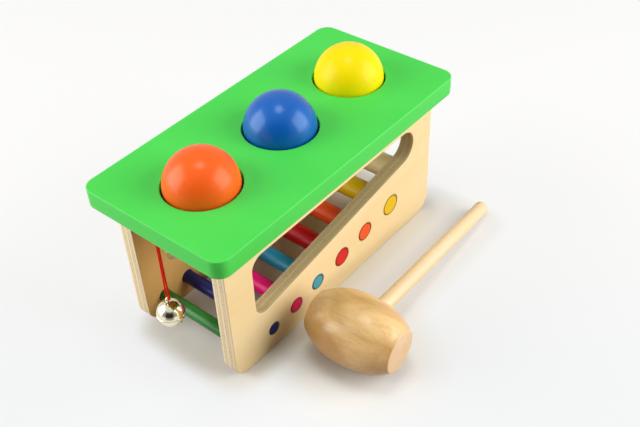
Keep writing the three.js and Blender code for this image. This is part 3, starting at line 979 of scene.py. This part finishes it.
ring_pieces = {colour: settle(ring_mesh(centre), f"ring_{colour}", caps=False)
               for colour, centre in ball_centres.items()}

# %% [markdown]
# Colours are written as they look on a screen, 0 to 255, and turned into the linear values
# that a shader works with. A Gamma node could do nearly the same in each material, but such
# a value never changes, so it is worked out here.

# %% Helpers for colours


def paint(red, green, blue):
    """Linear colour from screen values."""
    def linear(value):
        value /= 255
        return value / 12.92 if value <= 0.04045 else ((value + 0.055) / 1.055) ** 2.4
    return (linear(red), linear(green), linear(blue), 1.0)


def dimmed(colour, share):
    """The colour with this share of its light."""
    return tuple(share * part for part in colour[:3]) + (1.0,)


# %% [markdown]
# Finish is a Graph for one material: it starts with the object's own coordinates and ends in
# a Principled shader. A pattern made from those coordinates stays on the piece when the
# piece moves. Everything that varies over a surface feeds only its colour, its roughness,
# its clear coat or its bump.

# %% A tree for a finish


class Finish(Graph):
    """A material's tree. place and turn bring object coordinates onto the piece."""

    def __init__(self, name, place=(0, 0, 0), turn=(0, 0, 0)):
        self.material = bpy.data.materials.new(name)
        self.material.use_nodes = True
        super().__init__(self.material.node_tree)
        self.turn = turn
        self.normal, self.uv, own = self.add("ShaderNodeTexCoord",
                                             output=("Normal", "UV", "Object"))
        self.here = self.add("ShaderNodeMapping", {
            "Vector": own, "Location": place, "Rotation": turn}, vector_type="TEXTURE")

    def noise(self, scale, detail=2.0, roughness=0.5, distortion=0.0, vector=None):
        """Soft noise from 0 to 1. scale is one number, or one for each axis, per metre."""
        if not isinstance(scale, tuple):
            scale = (scale, scale, scale)
        stretched = self.add("ShaderNodeMapping",
                             {"Vector": vector or self.here, "Scale": scale})
        return self.add("ShaderNodeTexNoise", {
            "Vector": stretched, "Scale": 1.0, "Detail": detail, "Roughness": roughness,
            "Distortion": distortion})

    def end_on(self, axis, low, high):
        """0 on the sides of a round piece and 1 on its ends, along its own axis."""
        own = self.add("ShaderNodeMapping", {"Vector": self.normal, "Rotation": self.turn},
                       vector_type="TEXTURE")
        return self.ramp(abs(self.axes(own)[axis]), low, high)

    def blend(self, share, first, second):
        """A colour between two others."""
        return self.add("ShaderNodeMix", {0: share, 6: first, 7: second}, output=2,
                        data_type="RGBA")

    def stain(self, under, over, pattern, low, high, share=1):
        """Lay a share of one colour over another where a pattern passes from low to high."""
        mask = self.ramp(pattern, low, high)
        return self.blend(mask if share == 1 else mask * share, under, over)

    def bump(self, height, distance):
        """A normal from a height of 0 to 1 that stands for this distance."""
        return self.add("ShaderNodeBump", {
            "Height": height, "Distance": distance, "Strength": 1.0})

    def done(self, **sockets):
        """Add the shader with these sockets and return the material."""
        names = {name.replace("_", " "): value for name, value in sockets.items()}
        shader = self.add("ShaderNodeBsdfPrincipled", names)
        self.add("ShaderNodeOutputMaterial", {"Surface": shader})
        print(self.material.name, "finish has", len(self.tree.nodes), "nodes")
        return self.material


# %% [markdown]
# Green lacquer on wood has a satin surface. Three things keep it from looking like plastic:
# a tone that drifts slowly, a faint grain that shows through along the board, and a paler
# green on the rounded edges, partly where the paint thins and partly a painted highlight along
# the edge. The normal's height is 1 on the flat and 0 on the side, so it finds the rounded
# edge without any painting by hand.

# %% Green lacquer


def green_lacquer():
    finish = Finish("green_lacquer", place=bench)
    upward = abs(finish.axes(finish.normal)[2])
    edge = upward * (1 - upward) * 4
    drift = finish.noise(14)
    grain = finish.noise((18, 420, 420), detail=4, roughness=0.6)
    peel = finish.noise(1500, detail=1)
    colour = finish.stain(paint(68, 211, 74), paint(75, 217, 81), drift, 0.3, 0.7)
    colour = finish.blend(grain * 0.08, colour, paint(44, 180, 52))
    # Paler green on the rounded edges: partly thinner paint, partly a painted highlight.
    colour = finish.blend(edge * 0.2, colour, paint(120, 228, 122))
    return finish.done(
        Base_Color=colour, Roughness=0.42 + 0.1 * grain, Specular_IOR_Level=0.4,
        Normal=finish.bump(grain * 0.5 + peel * 0.5, 0.00003))


# %% [markdown]
# The balls wear two coats of gloss lacquer. A clear coat gives the sharp highlight, and the
# colour below it stays a little softer and tints what it mirrors. One glossy layer alone
# would look wet. Under the gloss the turned wood leaves faint rings round the ball's axis.

# %% Ball lacquer


def ball_lacquer(name, centre, body, deep, gloss, shine):
    """shine is the colour that the lacquer gives to what its surface mirrors."""
    finish = Finish(f"ball_{name}_lacquer", place=centre, turn=(0.5, 0.3, 0.2))
    drift = finish.noise(60, detail=3)
    rings = finish.noise((40, 40, 900))
    peel = finish.noise(700)
    colour = finish.stain(body, deep, drift, 0.3, 0.75, 0.5)
    colour = finish.blend(rings * 0.06, colour, deep)
    return finish.done(
        Base_Color=colour, Roughness=0.38 + 0.08 * drift, Specular_IOR_Level=gloss,
        Specular_Tint=shine, Coat_Weight=0.6 * gloss, Coat_Roughness=0.18,
        Normal=finish.bump(peel * 0.6 + rings * 0.4, 0.00003))


# %% [markdown]
# Birch plywood shows two faces. On its flat face the grain is pale, with long soft streaks,
# and the inner faces are painted darker and warmer: painted shade, with the warm light that
# bounces between the two panels. On its edges the five plies show: every second one is end
# grain, darker and dotted, and thin dark glue lines part them. Distance from the panel's
# inner face, counted in plies, decides which is which, and the normal decides where the edge
# is. The edges within 90 mm of the middle and above the feet, the window's among them, are
# painted darker and browner: painted shade, because the sill lies under the board.

# %% Birch plywood
PLIES = 5
GLUE_WANDER = 0.16 * MM
WINDOW_REACH = 90 * MM
FEET_HEIGHT = 10 * MM
panel_low, panel_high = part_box("side_panel_left")
to_inner = panel_low.y - bench.y
panel_thick = panel_high.y - panel_low.y


def birch_plywood():
    finish = Finish("birch_plywood", place=(0, bench.y, 0))
    lengthwise, across, height = finish.axes(finish.here)
    edge = 1 - finish.ramp(abs(finish.axes(finish.normal)[1]), 0.55, 0.8)
    wander = finish.noise(60, detail=1) * GLUE_WANDER
    ply = (abs(across) - to_inner + wander) * (PLIES / panel_thick)
    inside = ply.fraction()
    odd = ((ply - inside) * 0.5).fraction() * 2
    glue = 1 - finish.ramp(abs(inside - 0.5), 0.5, 0.4)
    uneven = finish.noise((30, 2600, 30), detail=1)
    streaks = finish.noise((14, 1, 330), detail=5, roughness=0.62, distortion=0.4)
    bands = finish.noise((5, 1, 30), distortion=0.8)
    fleck = finish.noise((90, 200, 1400), roughness=0.7)
    pores = finish.noise((1900, 700, 1900), roughness=0.7)
    lines = finish.noise((20, 1800, 20), detail=3, roughness=0.6)

    face = finish.stain(paint(253, 226, 172), paint(250, 217, 157), bands, 0.3, 0.75)
    # The inner faces are painted darker and warmer: painted shade and painted bounce light
    # between the panels.
    inner = abs(across) < to_inner + panel_thick / 2
    face = finish.blend(inner, face, paint(230, 183, 110))
    face = finish.stain(face, paint(232, 194, 136), streaks, 0.45, 0.85, 0.28)
    face = finish.stain(face, paint(214, 170, 112), fleck, 0.64, 0.85, 0.16)

    long_ply = finish.stain(paint(255, 240, 206), paint(246, 220, 176), lines, 0.3, 0.75)
    end_ply = finish.stain(paint(248, 226, 186), paint(220, 190, 144), pores, 0.35, 0.7)
    layers = finish.blend(odd, long_ply, end_ply)
    layers = finish.blend(glue * (0.25 + 0.75 * uneven), layers, paint(138, 108, 76))
    # Edges near the middle, the window's among them, are painted darker and browner: painted
    # shade under the board.
    shaded_window_edges = (abs(lengthwise - bench.x) < WINDOW_REACH) * (height > FEET_HEIGHT)
    speckle = finish.ramp(finish.noise(1500, detail=3, roughness=0.75), 0.35, 0.7)
    edge_shade_tone = finish.blend(speckle, paint(150, 118, 58), paint(206, 172, 98))
    layers = finish.blend(shaded_window_edges * 0.6, layers, edge_shade_tone)

    relief = (1 - edge) * (0.7 * streaks + 0.3 * fleck) + edge * (0.6 * pores + 0.4 * odd)
    return finish.done(
        Base_Color=finish.blend(edge, face, layers),
        Roughness=0.5 + 0.12 * streaks + 0.1 * edge,
        Specular_IOR_Level=0.3, Normal=finish.bump(relief, 0.00004))


# %% [markdown]
# The ramp's rods are dipped in gloss paint, each in its own colour. The paint follows the
# wood's grain along the rod, so the bump is stretched along Y, and the sawn ends take the
# paint a little lighter and duller than the sides. Round each end a thin dark ring is painted,
# a painted shadow of the narrow gap between the rod and the panel's bore. It could be a piece
# of its own, but a mask by the distance from the rod's axis lies perfectly flush.

# %% Rod paint
GAP_SHADE_START = 1.3 * MM
GAP_SHADE_FULL = 0.7 * MM


def rod_paint(name, side, end, centre, radius):
    finish = Finish(f"rod_{name}_paint", place=centre)
    end_on = finish.end_on(1, 0.6, 0.9)
    sideways, _, height = finish.axes(finish.here)
    from_axis = finish.math("SQRT", sideways * sideways + height * height)
    # A thin dark ring round the end is a painted shadow of the gap between the rod and its bore.
    rim = finish.ramp(from_axis, radius - GAP_SHADE_START, radius - GAP_SHADE_FULL)
    grain = finish.noise((700, 14, 700), detail=3, roughness=0.6)
    drift = finish.noise((90, 30, 90))
    sawn = finish.noise(1400, roughness=0.7)
    colour = finish.stain(side, dimmed(side, 0.86), drift, 0.3, 0.75)
    top = finish.stain(end, dimmed(end, 0.7), sawn, 0.4, 0.75, 0.35)
    top = finish.blend(rim * 0.75, top, paint(52, 30, 24))
    return finish.done(
        Base_Color=finish.blend(end_on, colour, top),
        Roughness=0.34 + 0.1 * grain + 0.2 * end_on,
        Specular_IOR_Level=0.3, Coat_Weight=0.08 * (1 - end_on), Coat_Roughness=0.12,
        Normal=finish.bump((1 - end_on) * grain + end_on * sawn, 0.00003))


# %% [markdown]
# Pale rod stock, for the hammer's handle and the rear bar, is straight-grained: long streaks
# along the rod over broad soft bands, and dotted end grain. The noise is stretched along the
# piece's own axis, so the object's coordinates are first moved and turned onto it.

# %% Pale rod wood


def pale_rod_wood(name, centre, turn, along, pale, warm):
    finish = Finish(name, place=centre, turn=turn)
    fine = tuple(16 if axis == along else 620 for axis in range(3))
    broad = tuple(6 if axis == along else 110 for axis in range(3))
    streaks = finish.noise(fine, detail=4, roughness=0.62)
    bands = finish.noise(broad, distortion=0.4)
    pores = finish.noise(2400, roughness=0.7)
    end_on = finish.end_on(along, 0.6, 0.9)
    colour = finish.stain(pale, warm, bands, 0.3, 0.7)
    colour = finish.stain(colour, paint(226, 190, 130), streaks, 0.48, 0.85, 0.4)
    ends = finish.stain(paint(226, 190, 134), paint(190, 148, 94), pores, 0.4, 0.7)
    return finish.done(
        Base_Color=finish.blend(end_on, colour, ends), Roughness=0.44 + 0.14 * streaks,
        Specular_IOR_Level=0.4,
        Normal=finish.bump(streaks * (1 - end_on) + pores * end_on, 0.00004))


# %% [markdown]
# The hammer's head is turned beech, oiled and waxed. Slow clouds of lighter and darker wood
# run over it, with fine fibres and the short dark flecks that mark beech, all drawn out
# along its axis. The two end faces are sawn across the grain, so they are paler, even and
# dotted. The turning tool leaves faint rings in the bump alone.

# %% Turned beech


def turned_beech(centre, turn):
    finish = Finish("turned_beech", place=centre, turn=turn)
    end_on = finish.end_on(1, 0.75, 0.93)
    fibres = finish.noise((520, 16, 520), detail=4, roughness=0.62)
    flecks = finish.noise((1100, 190, 420), roughness=0.6)
    clouds = finish.noise((34, 18, 34), detail=3, distortion=0.7)
    tool = finish.noise((8, 900, 8), roughness=0.6)
    pores = finish.noise(1500, detail=3, roughness=0.7)
    side = finish.stain(paint(245, 202, 138), paint(206, 154, 88), clouds, 0.34, 0.66)
    side = finish.stain(side, paint(188, 138, 80), fibres, 0.42, 0.8, 0.3)
    side = finish.stain(side, paint(166, 114, 62), flecks, 0.58, 0.78, 0.3)
    sawn = finish.stain(paint(240, 204, 160), paint(232, 190, 142), clouds, 0.3, 0.7)
    sawn = finish.stain(sawn, paint(206, 158, 106), pores, 0.45, 0.75, 0.3)
    height = (0.7 * fibres + 0.3 * tool) * (1 - end_on) + pores * end_on
    return finish.done(
        Base_Color=finish.blend(end_on, side, sawn),
        Roughness=0.36 + 0.1 * fibres + 0.2 * end_on,
        Specular_IOR_Level=0.3, Coat_Weight=0.4, Coat_Roughness=0.15,
        Normal=finish.bump(height, 0.00004))


# %% [markdown]
# The small parts need only short recipes. Nickel is nearly a mirror: a faint brushing, dull
# spots and tiny dents break its reflections. Steel wire is duller, with the fine marks of
# drawing.

# %% Nickel and steel


def bright_nickel():
    finish = Finish("bright_nickel", place=bell_centre)
    brushed = finish.noise((500, 500, 2600), detail=3, roughness=0.6)
    dents = finish.noise(260, detail=1)
    spots = finish.ramp(finish.noise(900, detail=3, roughness=0.7), 0.6, 0.8)
    colour = finish.blend(spots * 0.3, paint(244, 234, 205), paint(204, 186, 148))
    return finish.done(
        Base_Color=colour, Metallic=1.0, Roughness=0.13 + 0.07 * brushed + 0.1 * spots,
        Normal=finish.bump(dents * 0.8 + brushed * 0.2, 0.00003))


def steel_wire():
    finish = Finish("steel_wire")
    drawn = finish.noise(1500, detail=3, roughness=0.6)
    colour = finish.blend(drawn, paint(205, 205, 208), paint(160, 160, 165))
    return finish.done(Base_Color=colour, Metallic=1.0, Roughness=0.22 + 0.15 * drawn,
                       Normal=finish.bump(drawn, 0.00002))


# %% [markdown]
# Rubber is black and matt, with a little dust. Cotton yarn is rough, and its fibres run
# along each lobe, so they read the tube's own UV map, which turns with the lay. The pins are
# bare wood.

# %% Rubber, cotton and pin wood


def ring_rubber():
    finish = Finish("ring_rubber")
    dust = finish.noise(1800, detail=3, roughness=0.7)
    colour = finish.stain(paint(20, 20, 20), paint(48, 47, 45), dust, 0.5, 0.8, 0.5)
    return finish.done(Base_Color=colour, Roughness=0.6 + 0.2 * dust,
                       Normal=finish.bump(dust, 0.00003))


def red_cotton():
    finish = Finish("red_cotton")
    fibres = finish.noise((9, 60, 1), detail=3, roughness=0.65, vector=finish.uv)
    fuzz = finish.noise(5200, detail=3, roughness=0.7)
    colour = finish.blend(fibres, paint(255, 46, 16), paint(226, 28, 10))
    colour = finish.stain(colour, paint(252, 84, 46), fuzz, 0.6, 0.85, 0.4)
    return finish.done(Base_Color=colour, Roughness=0.75 + 0.2 * fibres,
                       Specular_IOR_Level=0.2, Normal=finish.bump(fibres, 0.00008))


def pin_wood():
    finish = Finish("pin_wood")
    grain = finish.noise((900, 900, 30), detail=4, roughness=0.6)
    colour = finish.blend(grain, paint(226, 188, 136), paint(186, 142, 92))
    return finish.done(Base_Color=colour, Roughness=0.6 + 0.1 * grain,
                       Normal=finish.bump(grain, 0.00008))


# %% [markdown]
# Now each piece is handed over. The green board, the panels and the string need only their
# finishes. The string and its knot ride on the bell, because they swing with it.

# %% Board, panels and string
cotton = red_cotton()
plywood = birch_plywood()
hand_over(board, green_lacquer(), "bench", "top_green", "top_board")
for side, panel in panels.items():
    hand_over(panel, plywood, "bench", "plywood", f"side_panel_{side}")
hand_over(string_knot, cotton, "bell", "red_string", "string_knot")
hand_over(bell_string, cotton, "bell", "red_string", "bell_string")

# %% [markdown]
# Six painted rods make the ramp, a green bar ties the panels at the front, and a bare bar
# stops the balls at the rear. A plain cylinder would have knife edges, so all eight come
# from the turned_wood tree, which eases their ends. Each rod's colours are given twice, for
# its side and for its sawn end. A matrix lays it along Y in the place of its CAD node.

# %% Rods and bars
ROD_EASE = 0.6 * MM
rod_colours = {
    "navy": (paint(0, 22, 118), paint(8, 16, 98)),
    "magenta": (paint(255, 4, 132), paint(236, 16, 98)),
    "turquoise": (paint(28, 142, 178), paint(68, 164, 182)),
    "red": (paint(190, 6, 14), paint(228, 28, 22)),
    "orange": (paint(244, 84, 24), paint(250, 90, 30)),
    "yellow": (paint(242, 204, 10), paint(242, 196, 20)),
    "green": (paint(38, 124, 40), paint(38, 124, 40)),
}


def lay_rod(name, node, material, slot):
    """Put a rod along Y in the place of its CAD node, and hand it over."""
    low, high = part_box(node)
    centre, radius = axis_and_radius(node)
    matrix = (Matrix.Translation((centre.x, low.y, centre.z))
              @ Matrix.Rotation(-math.pi / 2, 4, "X"))
    hand_over(rod_piece(name, matrix, material, high.y - low.y, radius, ROD_EASE), material,
              "bench", slot, node)


for colour in ramp_rods:
    node = f"ramp_rod_{colour}"
    material = rod_paint(colour, *rod_colours[colour], *axis_and_radius(node))
    lay_rod(f"rod_{colour}", node, material, f"rod_{colour}")
green_bar, rear_bar = bars
lay_rod("bar_front", green_bar,
        rod_paint("green", *rod_colours["green"], *axis_and_radius(green_bar)), "rod_green")
lay_rod("bar_rear", rear_bar,
        pale_rod_wood("rear_bar_wood", middle(rear_bar), (0, 0, 0), 1,
                      paint(255, 240, 190), paint(250, 232, 176)), "pale_wood")

# %% [markdown]
# Each ball gets its lacquer and rides on a body of its own, because it is knocked down by
# itself. The numbers after a ball's two tones say how strongly its lacquer mirrors, and in
# which tint: most on the dark blue, least on the yellow. The rings stay with the bench.

# %% Balls and rings
BALL_RADIUS = 22.5 * MM
ball_colours = {
    "orange": (paint(252, 98, 22), paint(242, 84, 12), 0.38, paint(255, 212, 160)),
    "blue": (paint(0, 88, 178), paint(0, 68, 152), 0.56, paint(142, 210, 255)),
    "yellow": (paint(250, 222, 0), paint(244, 210, 0), 0.18, paint(255, 250, 200)),
}
rubber = ring_rubber()
for colour, centre in ball_centres.items():
    material = ball_lacquer(colour, centre, *ball_colours[colour])
    ball = ball_piece(f"ball_{colour}_lacquered", centre, BALL_RADIUS, material)
    hand_over(ball, material, f"ball_{colour}", f"ball_{colour}", f"ball_{colour}")
    hand_over(ring_pieces[colour], rubber, "bench", "ring_rubber", f"ball_ring_{colour}")

# %% [markdown]
# The hammer lies on the floor on its head and on the far end of its handle, which gives it
# its tilt. Its head is the turned_wood tree with a swell, bored for the handle, and the
# handle is a rod. Both are made about the middle of the head and laid down by one shared
# matrix, so they can't drift apart.

# %% Hammer
HEAD_RADIUS = 22.7 * MM
HEAD_END_RADIUS = 14 * MM
HEAD_LENGTH = 59.4 * MM
HANDLE_RADIUS = 5 * MM
HANDLE_REACH = 159.5 * MM
HANDLE_DEPTH = 7.3 * MM
HANDLE_EASE = 1.4 * MM
BORE_MOUTH = 26 * MM
tilt = math.asin((HEAD_RADIUS - HANDLE_RADIUS) / HANDLE_REACH)
hammer_turn = Euler((0, tilt, math.radians(3.4)))
hammer_centre = bench + Vector((-39.8 * MM, -87.7 * MM, HEAD_RADIUS))
hammer = Matrix.Translation(hammer_centre) @ hammer_turn.to_matrix().to_4x4()
beech = turned_beech(hammer_centre, hammer_turn)
handle_wood = pale_rod_wood("handle_wood", hammer_centre, hammer_turn, 0,
                            paint(250, 222, 181), paint(244, 211, 164))

head_mesh = grow(turned, {
    "Length": HEAD_LENGTH, "Radius": HEAD_END_RADIUS, "Ease": 0.8 * MM,
    "Swell": HEAD_RADIUS - HEAD_END_RADIUS, "Power": 2.5, "Bands": 48, "Around": 128,
    "Material": beech})
head_mesh.transform(Matrix.Rotation(-math.pi / 2, 4, "X")
                    @ Matrix.Translation((0, 0, -HEAD_LENGTH / 2)))
bore_end, bore_radius = -HANDLE_DEPTH - FIT_GAP, HANDLE_RADIUS + FIT_GAP
handle_bore = lathe([(0, bore_end), (bore_radius, bore_end), (bore_radius, BORE_MOUTH),
                     (0, BORE_MOUTH)], Vector(), 72)
handle_bore.transform(Matrix.Rotation(math.pi / 2, 4, "Y"))
head_mesh = cut_away(head_mesh, [handle_bore])
head_mesh.transform(hammer)
head = settle(head_mesh, "hammer_head_turned", caps=False, crease=32)
hand_over(head, beech, "hammer", "beech", "hammer_head")

handle_axis = Matrix.Translation((-HANDLE_DEPTH, 0, 0)) @ Matrix.Rotation(math.pi / 2, 4, "Y")
handle = rod_piece("hammer_handle_rod", hammer @ handle_axis, handle_wood,
                   HANDLE_REACH + HANDLE_DEPTH, HANDLE_RADIUS, HANDLE_EASE)
hand_over(handle, handle_wood, "hammer", "pale_wood", "hammer_handle")

# %% [markdown]
# The bell's two cups, its loop and the loose pellet that rings it swing together, and the
# eye that they hang from stays under the board. The pellet is a small steel ball from the
# same tree as the wooden ones.

# %% Bell, pellet and eye
PELLET_RADIUS = 2.3 * MM
nickel = bright_nickel()
steel = steel_wire()
for piece, node in ((upper_cup, "bell_upper_cup"), (lower_cup, "bell_lower_cup"),
                    (bell_loop, "bell_loop")):
    hand_over(piece, nickel, "bell", "bell_nickel", node)
pellet = ball_piece("pellet_round", middle("bell_pellet"), PELLET_RADIUS, steel)
hand_over(pellet, steel, "bell", "steel_wire", "bell_pellet")
hand_over(string_eye, steel, "bench", "steel_wire", "string_eye")

# %% [markdown]
# Six short beech pins join the board to the panels, and they can't be seen. They repeat one
# shape, so a tree puts a grooved dowel on each point of a small mesh of places. A copy of
# an object for each pin would do too, but six objects would be six pieces to look after.

# %% Geometry Nodes tree for the pins
GROOVE_POINTS = 4
GROOVE_DIP = 0.07


def pin_tree():
    """Tree that puts a grooved dowel on every point of its mesh."""
    graph, given = new_tree("dowel_pins", "Geometry", "Length", "Radius", "Ease", "Material")
    length, ease = given["Length"], given["Ease"]
    section = graph.add("GeometryNodeCurvePrimitiveCircle", {"Resolution": 48, "Radius": 1.0})
    groove = graph.add("GeometryNodeInputIndex") / GROOVE_POINTS
    dip = 1 - GROOVE_DIP * (groove.fraction() < 0.2)
    star = graph.add("GeometryNodeSetPosition", {
        "Geometry": section,
        "Position": graph.scaled(graph.add("GeometryNodeInputPosition"), dip)})
    index = graph.add("GeometryNodeInputIndex")
    inner = (index > 0.5) * (index < 2.5)
    along = (index > 0.5) * ease + (index > 1.5) * (length - 2 * ease) + (index > 2.5) * ease
    dowel = swept(graph, 4, along, star, given["Radius"] - ease * (1 - inner))
    copies = graph.add("GeometryNodeInstanceOnPoints",
                       {"Points": given["Geometry"], "Instance": dowel})
    return end_tree(graph, copies, given["Material"])


# %% [markdown]
# The places of the pins come from their CAD nodes, and so does their length. The tree runs
# once, on a mesh that holds only those six points, and its result is one piece that stands
# for six nodes.

# %% Pins
pin_finish = pin_wood()
pin_low, pin_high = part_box(PIN_NODES[0])
places = bpy.data.meshes.new("pin_places")
places.from_pydata([(place.x, place.y, pin_low.z) for place in pin_places], [], [])
pins = settle(grow(pin_tree(), {"Length": pin_high.z - pin_low.z, "Radius": 2.5 * MM,
                                "Ease": 0.5 * MM, "Material": pin_finish}, places),
              "board_pins")
hand_over(pins, pin_finish, "bench", "pin_wood", *PIN_NODES)

# %% [markdown]
# One place in the studio is dark on purpose. The bell shows a dark patch where it mirrors
# the spot in front of the bench, where somebody stands to look. A black card would do, but
# it would also take light from the toy. So the place is described once here, as a direction
# seen from above, a half width, a height and the distance from the bell at which it begins,
# and both the floor and the room look dark there, to shiny metal only.

# %% Dark place in front
DARK_TURN = math.radians(-143)
DARK_HALF_WIDTH = 0.5
DARK_HEIGHT = 0.7
DARK_START = (0.065, 0.13)
dark_way = Vector((math.cos(DARK_TURN), math.sin(DARK_TURN), 0))
dark_side = Vector((-dark_way.y, dark_way.x, 0))
print("dark place lies towards", tuple(dark_way))

# %% [markdown]
# The floor is pale, and takes the soft shadows of the bench. Rays that the camera sends,
# straight or by way of shiny metal, see it nearly white. Rays that only gather light see it
# greyer, because the shade under the bench is deep, as in a room with dark walls. Away from
# the bench and the hammer the seen floor is lifted towards white. Brighter lamps would
# whiten it too, but they would bleach the toy. The lift is complete a metre away, so the
# floor meets the room without a line.

# %% Floor paint
FLOOR_LIFT = 0.72
UNDER_BENCH = ((0, -7 * MM), (92 * MM, 29 * MM), 24 * MM)
BY_HANDLE = ((45 * MM, -62 * MM), (62 * MM, 20 * MM), 22 * MM)
HANDLE_LIFT = 0.45
HEAD_SHADE = (1.2 * HEAD_RADIUS, 3 * HEAD_RADIUS)
REAR_FLOOR = (-0.11, 0.05)
FAR_FLOOR = (0.45, 1.1)
FLOOR_SPREAD = 1.1


def studio_floor():
    finish = Finish("studio_floor", place=bench)
    camera_ray, mirrored = finish.add("ShaderNodeLightPath",
                                      output=("Is Camera Ray", "Is Glossy Ray"))
    seen = finish.math("MAXIMUM", camera_ray, mirrored)
    from_bell = finish.vector("SUBTRACT", finish.here, (
        bell_centre.x - bench.x, bell_centre.y - bench.y, 0))
    ahead, beside = (finish.vector("DOT_PRODUCT", from_bell, tuple(way))
                     for way in (dark_way, dark_side))
    in_dark = (mirrored * finish.ramp(ahead, *DARK_START)
               * (abs(beside) < ahead * (DARK_HALF_WIDTH * FLOOR_SPREAD)))

    def outside(centre, half, reach):
        """0 over a rectangle of floor, 1 past the reach round it."""
        past_x, past_y = (finish.math("MAXIMUM", abs(part - at) - wide, 0)
                          for part, at, wide in zip(finish.axes(finish.here), centre, half))
        return finish.ramp(past_x * past_x + past_y * past_y, 0, reach ** 2)

    in_the_open = outside(*UNDER_BENCH) * (
        HANDLE_LIFT + (1 - HANDLE_LIFT) * outside(*BY_HANDLE))
    from_head = finish.vector("DISTANCE", finish.here, tuple(hammer_centre - bench))
    in_the_open = in_the_open * finish.ramp(from_head, *HEAD_SHADE)
    far_off = finish.ramp(finish.vector("LENGTH", finish.here), *FAR_FLOOR)
    share = finish.math("MAXIMUM", in_the_open * FLOOR_LIFT, far_off) * (1 - in_dark)
    depth = finish.vector("DOT_PRODUCT", finish.here, tuple(-back))
    rear = finish.math("MAXIMUM", finish.ramp(depth, *REAR_FLOOR), far_off)

    cloud = finish.noise(3)
    white = finish.blend(cloud, paint(240, 237, 232), paint(237, 235, 229))
    matt = finish.add("ShaderNodeBsdfPrincipled", {
        "Base Color": finish.blend(seen * (1 - in_dark), paint(150, 146, 142), white),
        "Roughness": 0.75 + 0.05 * cloud, "Specular IOR Level": 0.15})
    lit = finish.add("ShaderNodeEmission", {
        "Color": finish.blend(rear, paint(243, 246, 249), paint(255, 255, 255)),
        "Strength": 1.0})
    mixed = finish.add("ShaderNodeMixShader", {0: seen * share, 1: matt, 2: lit})
    finish.add("ShaderNodeOutputMaterial", {"Surface": mixed})
    return finish.material


# %% [markdown]
# The floor itself is one square face, large enough to reach far past the picture. It lies a
# hair below the feet, because two faces in the same place would flicker. It is declared as
# stage, so that it is seen but isn't part of the toy.

# %% Floor
FLOOR_REACH = 4
FLOOR_DROP = 0.05 * MM
ground = bmesh.new()
ground.faces.new([ground.verts.new((x * FLOOR_REACH, y * FLOOR_REACH, -FLOOR_DROP))
                  for x, y in ((-1, -1), (1, -1), (1, 1), (-1, 1))])
floor = bpy.data.objects.new("floor", as_mesh(ground))
floor.data.materials.append(studio_floor())
scene.collection.objects.link(floor)
floor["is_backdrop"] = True
print("floor is", 2 * FLOOR_REACH, "m wide")

# %% [markdown]
# The room round the floor gives a weak even light. What polished metal mirrors is another
# matter: pale walls all round, brighter at the back, a pale ceiling, and the dark place low
# down at the front. So the bell has a dark patch in front, and bright sides and top. A
# picture of a real studio could do this, but a few soft ramps on the ray's direction are
# enough, and the toy stays the same from every side.

# %% Room
AMBIENT = 0.15
WALLS, FAR_WALL, CEILING = 0.3, 0.4, 0.5
FAR_WALL_TURN = (-0.7, 0.6)
CEILING_HEIGHT = (0.3, 0.75)
WIDTH_FADE = (0.14, -0.1)
HEIGHT_FADE = (0.12, -0.1)
DARKNESS = 0.93
world = bpy.data.worlds.new("studio")
world.use_nodes = True
room = Graph(world.node_tree)
camera_ray, glossy_ray = room.add("ShaderNodeLightPath",
                                  output=("Is Camera Ray", "Is Glossy Ray"))
direction = room.add("ShaderNodeTexCoord", output=3)
high = room.axes(direction)[2]
away, toward, beside = (room.vector("DOT_PRODUCT", direction, tuple(way))
                        for way in (-back, dark_way, dark_side))
far_side = room.ramp(away, *FAR_WALL_TURN)
ceiling = room.ramp(high, *CEILING_HEIGHT)
in_width = room.ramp(abs(beside), *(DARK_HALF_WIDTH + fade for fade in WIDTH_FADE))
in_height = room.ramp(high, *(DARK_HEIGHT + fade for fade in HEIGHT_FADE))
dark = in_width * in_height * (toward > 0)
mirrored = (WALLS + FAR_WALL * far_side + CEILING * ceiling) * (1 - DARKNESS * dark)
strength = AMBIENT + glossy_ray * (mirrored - AMBIENT)
strength = strength + camera_ray * (1 - strength)
shown = room.add("ShaderNodeBackground", {"Color": (1, 1, 1, 1), "Strength": strength})
room.add("ShaderNodeOutputWorld", {"Surface": shown})
scene.world = world
print("room has", len(room.tree.nodes), "nodes")

# %% [markdown]
# Two large square lamps stand low on the left and on the right, and a small one hangs
# overhead. Their directions were read from the soft patches that they leave on the balls.
# They are strong enough that a colour lying flat on the bench renders about as it is written.
# The corner between the two lamps gets little of either, which gives it its dark edge.

# %% Lamps
LOW_LAMP = {"distance": 1.3, "size": 1.08, "power": 19.3}
HIGH_LAMP = {"distance": 1.0, "size": 0.35, "power": 2.8}


def soft_lamp(name, direction, distance, size, power):
    """A square area lamp that looks at the board from a direction."""
    lamp = bpy.data.lights.new(name, "AREA")
    lamp.size = size
    lamp.energy = power
    holder = bpy.data.objects.new(name, lamp)
    holder.location = bench + Vector((0, 0, board_high.z)) + Vector(direction) * distance
    holder.rotation_euler = Vector(direction).to_track_quat("Z", "Y").to_euler()
    holder.visible_camera = False
    scene.collection.objects.link(holder)
    print(name, "gives", power, "W")


soft_lamp("lamp_left", (-0.652, 0.673, 0.359), **LOW_LAMP)
soft_lamp("lamp_right", (0.455, -0.807, 0.369), **LOW_LAMP)
soft_lamp("lamp_top", (0, 0, 1), **HIGH_LAMP)

# %% [markdown]
# The box of the finished pieces is printed last. A finished piece may not make the object
# larger than its CAD model.

# %% Size of the finished pieces
low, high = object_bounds()
print("visual box", tuple(low), tuple(high))
